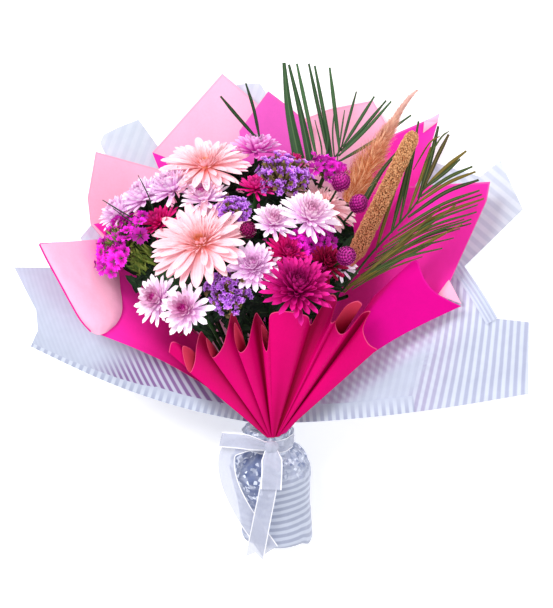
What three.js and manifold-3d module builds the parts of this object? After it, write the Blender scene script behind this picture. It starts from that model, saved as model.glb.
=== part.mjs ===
import * as THREE from 'three';
import { mergeVertices } from 'three/addons/utils/BufferGeometryUtils.js';
import Module from 'manifold-3d';

const wasm = await Module();
wasm.setup();

// Driving dimensions in millimetres. The bouquet lies on its back: X to its right, Y from the
// tie to the heads, Z up from the surface to its front. The tie is at X = 0 and Y = 0.
const TIE_HEIGHT = 74;
const NECK_RADIUS = 25;
const BUNDLE_RADIUS = 11;
const HANDLE_LENGTH = 112;
const HANDLE_RADIUS = 38;
const HANDLE_LEAN = 9.5;
const PAPER_THICK = 0.8;
const FILM_THICK = 0.8;
const RIBBON_THICK = 0.8;
const RIBBON_WIDTH = 19;
const CLEAR = 0.35;

const FILM_COLOUR = '#ccd4ea';
const PAPER_COLOUR = '#f85fae';
const FRONT_COLOUR = '#f0148c';
const RIBBON_COLOUR = '#f4f5fb';
const WHITE = '#ecd0f0';

const V = (x, y, z) => new THREE.Vector3(x, y, z);
const DEG = Math.PI / 180;
const UP = V(0, 0, 1);
const GOLDEN_TURN = 137.5 * DEG;

// A seeded draw, so that every petal falls in the same place each time.
let seed = 1;
function draw() {
  seed = (seed * 16807) % 2147483647;
  return seed / 2147483647;
}
const spread = (amount) => (draw() - 0.5) * 2 * amount;

function smooth(value, from, to) {
  const t = Math.min(Math.max((value - from) / (to - from), 0), 1);
  return t * t * (3 - 2 * t);
}

// Closed shapes

function shapeFrom(points, triangles) {
  const geometry = new THREE.BufferGeometry();
  const flat = points.flatMap((p) => [p.x, p.y, p.z]);
  geometry.setAttribute('position', new THREE.Float32BufferAttribute(flat, 3));
  geometry.setIndex(triangles);
  return geometry;
}

const SAME_POINT = 1e-3;
const ROUNDING = 1e4;

function solidFrom(geometry) {
  const bare = geometry.clone();
  bare.deleteAttribute('normal');
  bare.deleteAttribute('uv');
  const merged = mergeVertices(bare, SAME_POINT);
  const mesh = new wasm.Mesh({
    numProp: 3,
    vertProperties: new Float32Array(merged.getAttribute('position').array),
    triVerts: new Uint32Array(merged.getIndex().array),
  });
  return new wasm.Manifold(mesh);
}

function geometryFrom(solid) {
  const mesh = solid.getMesh();
  const geometry = new THREE.BufferGeometry();
  geometry.setAttribute('position', new THREE.BufferAttribute(mesh.vertProperties, 3));
  geometry.setIndex(new THREE.BufferAttribute(mesh.triVerts, 1));
  return geometry;
}

function fuse(solids) {
  let round = solids;
  while (round.length > 1) {
    const next = [];
    for (let i = 0; i < round.length; i += 2) {
      next.push(i + 1 < round.length ? round[i].add(round[i + 1]) : round[i]);
    }
    round = next;
  }
  return round[0];
}

// The largest body of a solid: a scrap left by a join is dropped.
function mainBody(solid) {
  const bodies = solid.decompose();
  return bodies.reduce((a, b) => (b.volume() > a.volume() ? b : a));
}

// A piece is sound when each of its edges belongs to just two faces.
function isSound(solid) {
  const mesh = solid.getMesh();
  const keys = [];
  for (let i = 0; i < mesh.vertProperties.length; i += 3) {
    const point = Array.from(mesh.vertProperties.subarray(i, i + 3));
    keys.push(point.map((c) => Math.round(c * ROUNDING)).join());
  }
  const edges = new Map();
  for (let i = 0; i < mesh.triVerts.length; i += 3) {
    const [a, b, c] = [0, 1, 2].map((k) => keys[mesh.triVerts[i + k]]);
    if (a === b || b === c || c === a) continue;
    for (const [p, q] of [[a, b], [b, c], [c, a]]) {
      const edge = p < q ? p + ' ' + q : q + ' ' + p;
      edges.set(edge, (edges.get(edge) ?? 0) + 1);
    }
  }
  return [...edges.values()].every((uses) => uses === 2);
}

const TURN_STEP = 0.043;
const TURNS = 12;

// A piece that isn't sound is made again, turned a little: make takes the turn.
function soundly(make) {
  let last = null;
  for (let k = 0; k < TURNS; k++) {
    const merged = solidFrom(geometryFrom(mainBody(make(k * TURN_STEP))));
    if (merged.numTri() === 0) continue;
    last = mainBody(merged);
    if (isSound(last)) return last;
  }
  return last;
}

// A blade is a pointed form on stations, each with a centre, a half width and a keel depth.
function blade(root, stations, tip) {
  const points = [root];
  const faces = [];
  for (const s of stations) {
    points.push(s.at.clone().add(s.side), s.at.clone().sub(s.side), s.at.clone().sub(s.keel));
  }
  points.push(tip);
  const end = points.length - 1;
  for (let k = 0; k < 3; k++) {
    const n = (k + 1) % 3;
    faces.push(0, 1 + n, 1 + k);
    for (let s = 0; s + 1 < stations.length; s++) {
      const a = 1 + 3 * s;
      faces.push(a + k, a + n, a + 3 + k, a + n, a + 3 + n, a + 3 + k);
    }
    faces.push(end - 3 + k, end - 3 + n, end);
  }
  return shapeFrom(points, faces);
}

// A straight or bowed blade from root to tip, lying flat to a given face direction.
function leafBlade(root, tip, width, thick, facing, bow = 0, widest = 0.45) {
  const run = tip.clone().sub(root);
  const side = run.clone().cross(facing).normalize();
  const rise = side.clone().cross(run).normalize();
  const at = root.clone().lerp(tip, widest).addScaledVector(rise, bow);
  const half = { at, side: side.multiplyScalar(width / 2), keel: rise.multiplyScalar(thick) };
  const geometry = blade(root, [half], tip);
  const solid = solidFrom(geometry);
  return solid.volume() > 0 ? solid : solidFrom(flipped(geometry));
}

function flipped(geometry) {
  const index = [...geometry.getIndex().array];
  for (let i = 0; i < index.length; i += 3) {
    [index[i + 1], index[i + 2]] = [index[i + 2], index[i + 1]];
  }
  geometry.setIndex(index);
  return geometry;
}

// A thin slab from a grid of points: both faces are split alike, and a rim closes them.
function slab(grid, thick, out) {
  const rows = grid.length;
  const columns = grid[0].length;
  const points = [];
  for (const shift of [0, thick]) {
    for (let j = 0; j < rows; j++) {
      for (let i = 0; i < columns; i++) {
        points.push(grid[j][i].clone().addScaledVector(out(j, i), shift));
      }
    }
  }
  const lift = rows * columns;
  const faces = [];
  for (let j = 0; j + 1 < rows; j++) {
    for (let i = 0; i + 1 < columns; i++) {
      const a = j * columns + i;
      const [b, c, d] = [a + 1, a + columns + 1, a + columns];
      faces.push(lift + a, lift + b, lift + c, lift + a, lift + c, lift + d);
      faces.push(a, c, b, a, d, c);
    }
  }
  const rim = [];
  for (let i = 0; i < columns; i++) rim.push(i);
  for (let j = 1; j < rows; j++) rim.push(j * columns + columns - 1);
  for (let i = columns - 2; i >= 0; i--) rim.push((rows - 1) * columns + i);
  for (let j = rows - 2; j > 0; j--) rim.push(j * columns);
  rim.forEach((a, k) => {
    const b = rim[(k + 1) % rim.length];
    faces.push(a, b, lift + b, a, lift + b, lift + a);
  });
  const solid = solidFrom(shapeFrom(points, faces));
  return solid.volume() > 0 ? solid : solidFrom(flipped(shapeFrom(points, faces)));
}

function gridNormal(grid, j, i) {
  const before = grid[j][Math.max(i - 1, 0)];
  const after = grid[j][Math.min(i + 1, grid[j].length - 1)];
  const under = grid[Math.max(j - 1, 0)][i];
  const over = grid[Math.min(j + 1, grid.length - 1)][i];
  return after.clone().sub(before).cross(over.clone().sub(under)).normalize();
}

// The wrap opens from the tie as a trough: flat on the surface behind, raised at both sides.
const NECK_BACK = 51.6;
const BACK_REACH = 215;
const BACK_TURN = 27;
const SIDE_TURN = 62;
const SIDE_START = 80;
const SIDE_RISE = 0.16;
const SIDE_DROOP = 38;
const DROOP_REACH = 260;
const NECK_TURN = 24;

function wrapBack(x, y) {
  const far = Math.hypot(x, y);
  const turn = Math.abs(Math.atan2(x, y)) / DEG;
  const low = NECK_BACK * (1 - smooth(far, 12, BACK_REACH));
  const side = SIDE_START + SIDE_RISE * far;
  const droop = SIDE_DROOP * smooth(turn, SIDE_TURN - 4, SIDE_TURN + 22) * (far / DROOP_REACH);
  const open = NECK_TURN * (1 - smooth(far, 15, 120));
  return low + (side - low) * smooth(turn, BACK_TURN + open, SIDE_TURN + open) - droop;
}

// The front collar climbs steeply from the neck in the middle and gently at the sides.
const NECK_FRONT = 96;
const FRONT_CLIMB = 0.5;
const FRONT_EASE = 0.24;
const FRONT_TURN = 57;

function wrapFront(x, y) {
  const turn = Math.atan2(x, y) / DEG;
  const climb = FRONT_CLIMB - FRONT_EASE * (turn / FRONT_TURN) ** 2;
  return NECK_FRONT + Math.hypot(x, y) * climb;
}

// Each sheet lies a step above the one below it, and the steps open with the distance.
const LAYER_STEP = 1.5;
const LAYER_OPEN = 0.036;
const STEEPEST = 2.6;

function above(base, layer, x, y) {
  const far = Math.hypot(x, y);
  const e = 0.5;
  const slopeX = (base(x + e, y) - base(x - e, y)) / (2 * e);
  const slopeY = (base(x, y + e) - base(x, y - e)) / (2 * e);
  const stretch = Math.min(Math.hypot(1, slopeX, slopeY), STEEPEST);
  const step = LAYER_STEP + LAYER_OPEN * Math.max(far - 15, 0);
  return base(x, y) + layer * step * stretch;
}

// The neck leans back with the handle, so a sheet starts further up behind it than beside it.
const NECK_START = 8.5;
const NECK_LEAN = 9.5;
const ROW_CROWDING = 1.25;
const RIPPLE_REACH = 300;
const WAVES = 9;

// A gathered sheet runs out from the neck to its edge, a list of [x, y, extra height].
function sheet({ edge, layer = 0, thick = PAPER_THICK, base = wrapBack, start = 0, rows = 6,
  pitch = 34, ripple = 0, phase = 0, bow = [0, 0], tuck = null }) {
  const stops = [];
  edge.forEach(([x, y, lift], k) => {
    if (k > 0) {
      const [px, py, plift] = edge[k - 1];
      const steps = Math.max(1, Math.round(Math.hypot(x - px, y - py) / pitch));
      for (let s = 1; s < steps; s++) {
        const t = s / steps;
        stops.push([px + (x - px) * t, py + (y - py) * t, plift + (lift - plift) * t]);
      }
    }
    stops.push([x, y, lift]);
  });
  const grid = [];
  for (let j = 0; j <= rows; j++) {
    grid.push(stops.map(([x, y, lift], i) => {
      const turn = Math.atan2(x, y);
      const t = (j / rows) ** ROW_CROWDING;
      const share = i / (stops.length - 1);
      const curve = (bow[0] * (1 - share) + bow[1] * share) * Math.sin(Math.PI * t);
      const tucked = tuck ? tuck(share) : null;
      const sx = tucked ? tucked.x : (NECK_RADIUS - 3 + start) * Math.sin(turn);
      const sy = tucked ? tucked.y : NECK_START + start + NECK_LEAN * Math.cos(turn);
      const far = Math.hypot(x, y);
      const px = sx + (x - sx) * t + curve * (y / far);
      const py = sy + (y - sy) * t - curve * (x / far);
      const reach = Math.hypot(px, py);
      const wave = ripple * (reach / RIPPLE_REACH) ** 1.4 * Math.sin(WAVES * turn + phase);
      const high = above(base, layer, px, py) + wave + lift * t ** 3;
      return V(px, py, tucked ? high + (tucked.z - high) * (1 - t) ** 5 : high);
    }));
  }
  return slab(grid, thick, (j, i) => {
    const n = gridNormal(grid, j, i);
    return n.z < 0 ? n.negate() : n;
  });
}

const parts = new Map();

function keep(name, colour, roughness, solid) {
  parts.set(name, { solid, colour, roughness });
}

// Every solid that a later petal has to stay clear of, with its box.
const placed = [];

function settle(solid) {
  const { min, max } = solid.boundingBox();
  placed.push({ solid, box: new THREE.Box3(V(...min), V(...max)) });
  return solid;
}

function isClear(solid, gap = CLEAR) {
  const { min, max } = solid.boundingBox();
  const box = new THREE.Box3(V(...min), V(...max)).expandByScalar(gap);
  return placed.every((p) => !p.box.intersectsBox(box) || p.solid.minGap(solid, gap + 0.2) >= gap);
}

// Film: clear wrap with printed stripes, outside the papers

const FILM_BACK = [[-166, 201, 0], [-153, 282, 0], [-157, 303, 2], [-134, 322, 4], [-113, 293, 0],
  [-33, 345, 0], [-33, 360, 2], [-4, 363, 2], [0, 340, 0], [120, 300, 0], [218, 263, 0],
  [238, 279, 4], [256, 227, 0], [195, 167, 0]];
const FILM_LEFT = [[-235, 90, 0], [-227, 106, 3], [-228, 126, 4], [-249, 168, 6], [-215, 168, 0],
  [-170, 196, 0]];
const FILM_RIGHT = [[190, 172, 0], [222, 118, 0], [258, 114, 0], [261, 42, 0]];

keep('film_back', FILM_COLOUR, 0.3, sheet({ edge: FILM_BACK, thick: FILM_THICK, pitch: 60, start: -1.5 }));
keep('film_left', FILM_COLOUR, 0.3,
  sheet({ edge: FILM_LEFT, layer: 1, thick: FILM_THICK, ripple: 2, bow: [3, 0] }));
keep('film_right', FILM_COLOUR, 0.3,
  sheet({ edge: FILM_RIGHT, layer: 0.9, start: 1.5, thick: FILM_THICK, ripple: 2, pitch: 30, bow: [0, -6] }));

// Papers: pink on both sides, one side pale

const PAPERS = {
  paper_back_left: { layer: 1, edge: [[-121, 290, 0], [-48, 372, 0], [-4, 334, 0]] },
  paper_back_middle: { layer: 2, edge: [[-30, 311, 0], [0, 352, 0], [24, 334, 0], [42, 318, 0]] },
  paper_back_right: { layer: 1, edge: [[20, 318, 0], [64, 335, 0], [109, 344, 0], [124, 318, 0]] },
  paper_top_right: { layer: 2, edge: [[112, 300, 0], [177, 328, 0], [175, 319, 0], [160, 268, 0]] },
  paper_right: { layer: 3, edge: [[140, 253, 0], [222, 254, 0], [218, 235, 0], [175, 143, 0]] },
  paper_left_upper: {
    layer: 2, edge: [[-177, 195, 0], [-185, 214, 0], [-184, 240, 0], [-178, 289, 0], [-110, 271, 0]],
  },
  paper_left_lower: {
    layer: 3.2, bow: [9, 0],
    edge: [[-164, 102, 12], [-183, 122, 12], [-222, 191, 18], [-178, 195, 8], [-140, 200, 4]],
  },
};
for (const [name, form] of Object.entries(PAPERS)) {
  keep(name, PAPER_COLOUR, 0.55, sheet({ ripple: 2.2, phase: form.layer, ...form }));
}

// The handle: film gathered round the stems, closed under their cut ends.
const NECK_REACH = 8;
const HANDLE_WIDEST = HANDLE_LENGTH - 8;
const HANDLE_TILT = Math.asin(TIE_HEIGHT / Math.hypot(HANDLE_WIDEST, HANDLE_RADIUS))
  - Math.atan2(HANDLE_RADIUS, HANDLE_WIDEST);
const AXIS = V(0, Math.cos(HANDLE_TILT), Math.sin(HANDLE_TILT));
const TIE = V(0, 0, TIE_HEIGHT);
const HANDLE_PLEATS = 14;
const HANDLE_SETTLE = 0.6;
const PLEAT_DEPTH = 0.9;
const PLEAT_ENDS = [4, 30, 82, 96];
const LEAN_START = 9;
// Outer radius of the handle at each distance from its closed end.
const HANDLE_PROFILE = [[29, 0], [36, 4], [38, 10], [38.5, 40], [43, 74], [37, 91],
  [NECK_RADIUS, 101], [NECK_RADIUS, HANDLE_LENGTH + NECK_REACH]];

// The handle leans to the right below the ribbon: how far at a place along the axis.
function leanAt(along) {
  return HANDLE_LEAN * Math.max(-along - LEAN_START, 0) / (HANDLE_LENGTH - LEAN_START);
}

// A point on the front of the leaning neck, x to the side and some way along the axis.
function onNeck(x, radius, along) {
  const up = Math.sqrt(Math.max(radius ** 2 - x ** 2, 0));
  const out = V(0, -Math.sin(HANDLE_TILT), Math.cos(HANDLE_TILT));
  return TIE.clone().add(V(x, 0, 0)).addScaledVector(out, up).addScaledVector(AXIS, along);
}

// The right front paper is a smooth cone under the pleated fan.
const FRONT_RIGHT = [[110, 158, -4], [144, 170, -4], [155, 151, -2], [168, 141, 0], [190, 130, 0]];
keep('paper_front_right', FRONT_COLOUR, 0.55, sheet({
  edge: FRONT_RIGHT, base: (x, y) => wrapFront(x, y) - 3.7 - 0.08 * Math.hypot(x, y), bow: [0, -14],
  tuck: (share) => onNeck(13 + 5 * share, NECK_RADIUS - 1.9, NECK_REACH + 0.9),
}));

// The fan: fold lines from the neck, each [x, y, height over the collar] at its outer end.
const FAN_FOLDS = [
  [-86, 70, 2], [-76, 66, 7], [-71, 85, 2], [-67, 104, -7], [-48, 80, 9], [-41, 96, 3],
  [-36, 124, -8], [-22, 85, 9], [-15, 101, 3], [-11, 123, -8], [-1, 86, 7], [4, 122, 8],
  [18, 125, 9], [36, 121, 6], [43, 112, -6], [64, 142, -2], [61, 114, 9], [87, 135, -5],
  [74, 104, 9], [101, 124, -5], [101, 103, 3], [106, 88, 6],
];
const FAN_GATHER = 0.1;
const FAN_MIDDLE = 4;

function pleatedFan() {
  const rows = 3;
  const grid = [];
  for (let j = 0; j <= rows; j++) {
    const t = j / rows;
    grid.push(FAN_FOLDS.map(([x, y, fold]) => {
      const start = onNeck(FAN_MIDDLE + x * FAN_GATHER, NECK_RADIUS - 0.4, NECK_REACH + CLEAR);
      const end = V(x, y, wrapFront(x, y) + 4 + fold);
      return start.lerp(end, t);
    }));
  }
  return slab(grid, PAPER_THICK, () => UP);
}

keep('paper_fan', FRONT_COLOUR, 0.55, pleatedFan());

function handleWrap() {
  const outer = [[0, 0], ...HANDLE_PROFILE];
  const inner = HANDLE_PROFILE.map(([r, s]) => [r - FILM_THICK, Math.max(s, FILM_THICK)]);
  const profile = [...outer, ...inner.reverse(), [0, FILM_THICK]];
  const lathe = new THREE.LatheGeometry(
    profile.map(([r, s]) => new THREE.Vector2(r, s)), HANDLE_PLEATS);
  const place = lathe.getAttribute('position');
  for (let i = 0; i < place.count; i++) {
    const p = V(place.getX(i), place.getY(i), place.getZ(i));
    const radius = Math.hypot(p.x, p.z);
    const turn = Math.atan2(p.x, p.z);
    const pleat = Math.round(turn / (2 * Math.PI / HANDLE_PLEATS)) % 2 ? 1 : -1;
    const [rise, full, ease, gone] = PLEAT_ENDS;
    const deep = PLEAT_DEPTH * smooth(p.y, rise, full) * (1 - smooth(p.y, ease, gone));
    const scale = radius > 1 ? (radius + pleat * deep) / radius : 1;
    p.set(p.x * scale + leanAt(p.y - HANDLE_LENGTH), p.y - HANDLE_LENGTH, p.z * scale);
    p.applyAxisAngle(V(1, 0, 0), HANDLE_TILT).add(TIE);
    p.z -= HANDLE_SETTLE * (1 - smooth(p.y, -HANDLE_LENGTH + 12, -20));
    place.setXYZ(i, p.x, p.y, Math.max(p.z, onInside(radius, p) ? FILM_THICK : 0));
  }
  const solid = solidFrom(lathe);
  return solid.volume() > 0 ? solid : solidFrom(flipped(lathe));
}

// The inner wall keeps the film's thickness over the surface where the handle rests.
function onInside(radius, p) {
  const along = p.clone().sub(TIE).dot(AXIS) + HANDLE_LENGTH;
  const limit = HANDLE_PROFILE.find(([, s]) => s >= along - 0.5) ?? HANDLE_PROFILE.at(-1);
  return radius < limit[0] - FILM_THICK / 2 || along < 1.5;
}

keep('film_handle', FILM_COLOUR, 0.3, handleWrap());

// A ring round the bundle's axis, from a closed profile of [radius, distance along the axis].
function ringOnAxis(profile, segments) {
  const closed = [...profile, profile[0]].map(([r, s]) => new THREE.Vector2(r, s));
  const lathe = new THREE.LatheGeometry(closed, segments);
  lathe.rotateX(HANDLE_TILT);
  lathe.translate(TIE.x, TIE.y, TIE.z);
  const solid = solidFrom(lathe);
  return solid.volume() > 0 ? solid : solidFrom(flipped(lathe));
}

const BAND_INSIDE = NECK_RADIUS + CLEAR + 0.5;
keep('ribbon_band', RIBBON_COLOUR, 0.35, ringOnAxis([
  [BAND_INSIDE, -9], [BAND_INSIDE + RIBBON_THICK, -9],
  [BAND_INSIDE + RIBBON_THICK, 4], [BAND_INSIDE, 4]], 18));

// Twine wound round the stems, out of sight under the film.
const TWINE_INSIDE = BUNDLE_RADIUS + 0.15;
const TWINE_THICK = 2;
keep('binding_twine', '#8a7a58', 0.8, ringOnAxis([
  [TWINE_INSIDE, -5], [TWINE_INSIDE + TWINE_THICK, -5],
  [TWINE_INSIDE + TWINE_THICK, 2], [TWINE_INSIDE, 2]], 16));

// A ribbon strip follows a curve. Its width is square to UP, or lies along a given direction.
function strip(points, width, steps, across = null) {
  const curve = new THREE.CatmullRomCurve3(points);
  const grid = [];
  for (let j = 0; j <= steps; j++) {
    const along = curve.getTangentAt(j / steps);
    const side = across ? across.clone() : along.clone().cross(UP);
    side.normalize().multiplyScalar(width / 2);
    const at = curve.getPointAt(j / steps);
    grid.push([at.clone().sub(side), at.clone().add(side)]);
  }
  return slab(grid, RIBBON_THICK, (j, i) => gridNormal(grid, j, i));
}

// The bow: a knot on the band, a flat ear, a strap that turns down the handle, and two tails.
const KNOT_RADIUS = 7.5;
const KNOT = V(3, -11, TIE_HEIGHT + NECK_RADIUS + 5.5);

function bow(spin) {
  const knot = KNOT;
  const ball = new THREE.SphereGeometry(KNOT_RADIUS, 7, 5).rotateX(Math.PI / 2 + spin);
  ball.scale(1, 1, 0.75);
  ball.translate(knot.x, knot.y, knot.z);
  const longTail = [knot, V(1, -46, 106), V(-6, -84, 92), V(-14, -121, 72)];
  const shortTail = [knot, V(4, -30, 109), V(3, -53, 107)];
  const strap = [knot, V(-22, -8, 108), V(-40, -16, 105), V(-40, -42, 99), V(-26, -75, 91),
    V(-4, -109, 77)];
  const ear = [knot, V(-22, -5, 113.5), V(-43, -3, 112), V(-47, -3, 109.5), V(-41, -3, 107),
    V(-24, -4, 106)];
  return fuse([
    solidFrom(ball), strip(longTail, RIBBON_WIDTH, 5), strip(shortTail, RIBBON_WIDTH, 2),
    strip(strap, RIBBON_WIDTH, 8), strip(ear, RIBBON_WIDTH * 0.8, 8, V(0.15, 1, 0)),
  ]);
}

keep('ribbon_bow', RIBBON_COLOUR, 0.35, soundly((spin) => bow(spin)));

for (const { solid } of parts.values()) settle(solid);

// What the stems carry: [x, y, z] of each head's middle, its radius, and where it faces.
const DOME_CENTRE = V(-15, 90, 30);

function facingOf(at, given) {
  return given ? V(...given).normalize() : at.clone().sub(DOME_CENTRE).normalize();
}

const MUMS = [
  { name: 'mum_magenta', at: [29, 148, 198], radius: 38, facing: [0.12, 0.6, 0.8], rows: 3,
    colour: '#d60082' },
  { name: 'mum_white_low', at: [-79, 127, 186], radius: 27, rows: 3, colour: WHITE },
  { name: 'mum_white_edge', at: [-108, 137, 162], radius: 26, rows: 2, colour: WHITE },
  { name: 'mum_pink_middle', at: [-14, 169, 184], radius: 28, rows: 3, colour: '#e8a8d8' },
  { name: 'mum_wine', at: [58, 172, 178], radius: 22, rows: 2, colour: '#7a0038' },
  { name: 'mum_crimson_behind', at: [20, 182, 172], radius: 24, rows: 2, colour: '#c8004a' },
  { name: 'mum_white_right', at: [41, 218, 172], radius: 31, rows: 3, colour: WHITE },
  { name: 'mum_white_centre', at: [6, 212, 170], radius: 23, rows: 2, colour: WHITE },
  { name: 'mum_white_eye', at: [-63, 238, 142], radius: 26, rows: 2, colour: WHITE },
  { name: 'mum_white_top', at: [-96, 248, 124], radius: 31, rows: 3, colour: WHITE },
  { name: 'mum_white_left', at: [-125, 240, 112], radius: 28, rows: 2, colour: WHITE },
  { name: 'mum_white_far_left', at: [-150, 225, 102], radius: 26, rows: 2, colour: WHITE },
  { name: 'mum_cerise_left', at: [-108, 214, 134], radius: 22, rows: 2, colour: '#c8005a' },
  { name: 'mum_cerise_middle', at: [-12, 248, 142], radius: 20, rows: 2, colour: '#d40070' },
  { name: 'mum_pink_top', at: [-12, 289, 98], radius: 28, rows: 3, colour: '#c83cbe' },
  { name: 'mum_crimson_top', at: [27, 279, 98], radius: 12, rows: 2, colour: '#c8004a' },
  { name: 'mum_white_hidden', at: [72, 172, 148], radius: 20, rows: 2, colour: WHITE },
];
const GERBERAS = [
  { name: 'gerbera_lower', at: [-66, 194, 172], radius: 53, outer: 18, inner: 10 },
  { name: 'gerbera_upper', at: [-62, 272, 118], radius: 47, outer: 17, inner: 8,
    facing: [-0.12, 0.8, 0.58] },
  { name: 'gerbera_right', at: [54, 233, 118], radius: 38, outer: 10, inner: 0 },
];
const STATICE = [
  { name: 'statice_left', at: [-35, 222, 152], radius: 20, florets: 18 },
  { name: 'statice_top', at: [14, 252, 128], radius: 32, florets: 27 },
  { name: 'statice_low', at: [-37, 145, 172], radius: 26, florets: 24 },
];
const DIANTHUS = [
  { name: 'dianthus_left', at: [-144, 191, 130], radius: 42, florets: 12 },
  { name: 'dianthus_top', at: [58, 264, 112], radius: 24, florets: 7 },
  { name: 'dianthus_middle', at: [44, 194, 158], radius: 25, florets: 6, facing: [0.3, 0.5, 0.8] },
];
const GLOBES = [
  { name: 'globe_top', at: [71, 250, 142], radius: 8.5 },
  { name: 'globe_right', at: [88, 229, 140], radius: 8.5 },
  { name: 'globe_low', at: [74, 177, 201], radius: 8.5 },
  { name: 'globe_dark', at: [-19, 203, 178], radius: 7.5 },
];
const MILLET = { name: 'millet_head', base: [80, 170, 162], tip: [141, 297, 182], radius: 11 };
const PLUME = { name: 'plume', base: [84, 240, 104], tip: [144, 345, 118], radius: 15 };
const PALM_LEFT = {
  name: 'palm_left', base: [50, 243, 84], tip: [52, 276, 86],
  tips: [[16, 373], [21, 371], [29, 373], [41, 372], [47, 370], [62, 368], [88, 344],
    [106, 340], [118, 335], [124, 335], [144, 320]],
};
const PALM_RIGHT = {
  name: 'palm_right', base: [82, 142, 150], tip: [160, 250, 172],
  tips: [[146, 314], [151, 315], [153, 309], [170, 305], [180, 295], [198, 281], [205, 263],
    [207, 259], [211, 251], [213, 242], [216, 232], [209, 219], [204, 211]],
};

const heads = [...MUMS, ...GERBERAS, ...STATICE, ...DIANTHUS, ...GLOBES];
for (const head of heads) {
  const at = V(...head.at);
  head.facing = facingOf(at, head.facing);
  head.base = at.clone().addScaledVector(head.facing, -7);
}

// Stems run from their cut ends in the handle, through the tie, to what they carry.
const stems = [];
const SLOT_SHARE = 0.085;
const SLOT_HEIGHT = 60;
const CUT_SPREAD = 2.4;
const STEM = 4.2;
const GERBERA_STEM = 5.4;
const CUT_STEM = 5;

// The bundle is pressed solid from a little below the tie to some way above it.
const BUNDLE_RISE = 34;
const BUNDLE_DROP = 13;

function slotFor(aim) {
  const slot = V(aim.x, 0, (aim.z - SLOT_HEIGHT) * 1.4).multiplyScalar(SLOT_SHARE);
  return slot.clampLength(0, BUNDLE_RADIUS - 3);
}

function rod(path, thick, steps) {
  const section = new THREE.Shape();
  const sides = 4;
  for (let k = 0; k < sides; k++) {
    const turn = (k / sides) * 2 * Math.PI;
    const corner = [Math.cos(turn) * thick / 2, Math.sin(turn) * thick / 2];
    if (k === 0) section.moveTo(...corner);
    else section.lineTo(...corner);
  }
  section.closePath();
  const how = { steps, extrudePath: path, bevelEnabled: false };
  return solidFrom(new THREE.ExtrudeGeometry(section, how));
}

function stem(base, direction, thick) {
  const aim = base.clone().sub(TIE);
  const end = base.clone().addScaledVector(direction, -CLEAR);
  const rise = base.clone().addScaledVector(direction, -0.25 * aim.length());
  const tie = TIE.clone().addScaledVector(slotFor(aim), 1.2);
  tie.addScaledVector(AXIS, BUNDLE_RISE - 14);
  const half = tie.clone().lerp(rise, 0.5);
  const path = new THREE.CatmullRomCurve3([tie, half, rise, end], false, 'centripetal');
  stems.push({ solid: rod(path, thick, 4), path });
}

for (const head of heads) {
  stem(head.base, head.facing, GERBERAS.includes(head) ? GERBERA_STEM : STEM);
}
for (const long of [MILLET, PLUME, PALM_LEFT, PALM_RIGHT]) {
  long.base = V(...long.base);
  long.tip = V(...long.tip);
  stem(long.base, long.tip.clone().sub(long.base).normalize(), STEM);
}

// At the tie the stems are pressed into one bundle, and below it they spread to their cut ends.
const CUT_STEMS = 9;
const BUNDLE_TAPER = 1.5;

function bundleAtTie() {
  const long = BUNDLE_RISE + BUNDLE_DROP;
  const core = new THREE.CylinderGeometry(
    BUNDLE_RADIUS + BUNDLE_TAPER, BUNDLE_RADIUS - BUNDLE_TAPER, long, 9);
  core.translate(0, (BUNDLE_RISE - BUNDLE_DROP) / 2, 0);
  core.rotateX(HANDLE_TILT).translate(TIE.x, TIE.y, TIE.z);
  const rods = [solidFrom(core)];
  for (let k = 0; k < CUT_STEMS; k++) {
    const far = Math.sqrt((k + 0.5) / CUT_STEMS) * (BUNDLE_RADIUS - 2);
    const slot = V(Math.cos(k * GOLDEN_TURN) * far, 0, Math.sin(k * GOLDEN_TURN) * far);
    const from = TIE.clone().addScaledVector(slot, 0.8);
    const cut = TIE.clone().addScaledVector(slot, CUT_SPREAD);
    cut.addScaledVector(AXIS, -HANDLE_LENGTH - 4).add(V(HANDLE_LEAN, 0, 0));
    rods.push(rod(new THREE.LineCurve3(from, cut), CUT_STEM, 1));
  }
  return rods;
}

// The stems are cut level, just clear of the film under them.
const belowCut = new THREE.BoxGeometry(200, 60, 200);
belowCut.translate(0, -30 - HANDLE_LENGTH + FILM_THICK + CLEAR, 0);
belowCut.rotateX(HANDLE_TILT).translate(TIE.x, TIE.y, TIE.z);
const allStems = fuse([...bundleAtTie(), ...stems.map((s) => s.solid)]);
const bundle = mainBody(allStems.subtract(solidFrom(belowCut)));
settle(bundle);
const bundlePlace = placed.at(-1);

// Petals

// The head's own frame: X and Y across the face, Z where it faces.
function frameOf(head) {
  const turn = new THREE.Quaternion().setFromUnitVectors(UP, head.facing);
  const one = V(1, 1, 1);
  return new THREE.Matrix4().compose(head.base, turn, one);
}

function petal(frame, { turn, lift, from, long, wide, thick, high, widest, curl }) {
  const out = V(Math.cos(turn) * Math.cos(lift), Math.sin(turn) * Math.cos(lift), Math.sin(lift));
  const side = V(-Math.sin(turn), Math.cos(turn), 0);
  const rise = out.clone().cross(side);
  const root = V(0, 0, high).addScaledVector(out, from);
  const tip = root.clone().addScaledVector(out, long - from).addScaledVector(rise, curl);
  const stations = widest.map((share) => ({
    at: root.clone().lerp(tip, share).addScaledVector(rise, -curl * share * 0.5),
    side: side.clone().multiplyScalar(wide / 2 * (share < 0.5 && widest.length > 1 ? 0.75 : 1)),
    keel: rise.clone().multiplyScalar(thick),
  }));
  const geometry = blade(root, stations, tip).applyMatrix4(frame);
  const solid = solidFrom(geometry);
  return solid.volume() > 0 ? solid : solidFrom(flipped(geometry));
}

// A petal that meets its neighbour is shortened and raised; one that still meets it is left out.
const TRIES = [[1, 0], [0.88, 8], [0.76, 18], [0.62, 28], [0.5, 38]];

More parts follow.
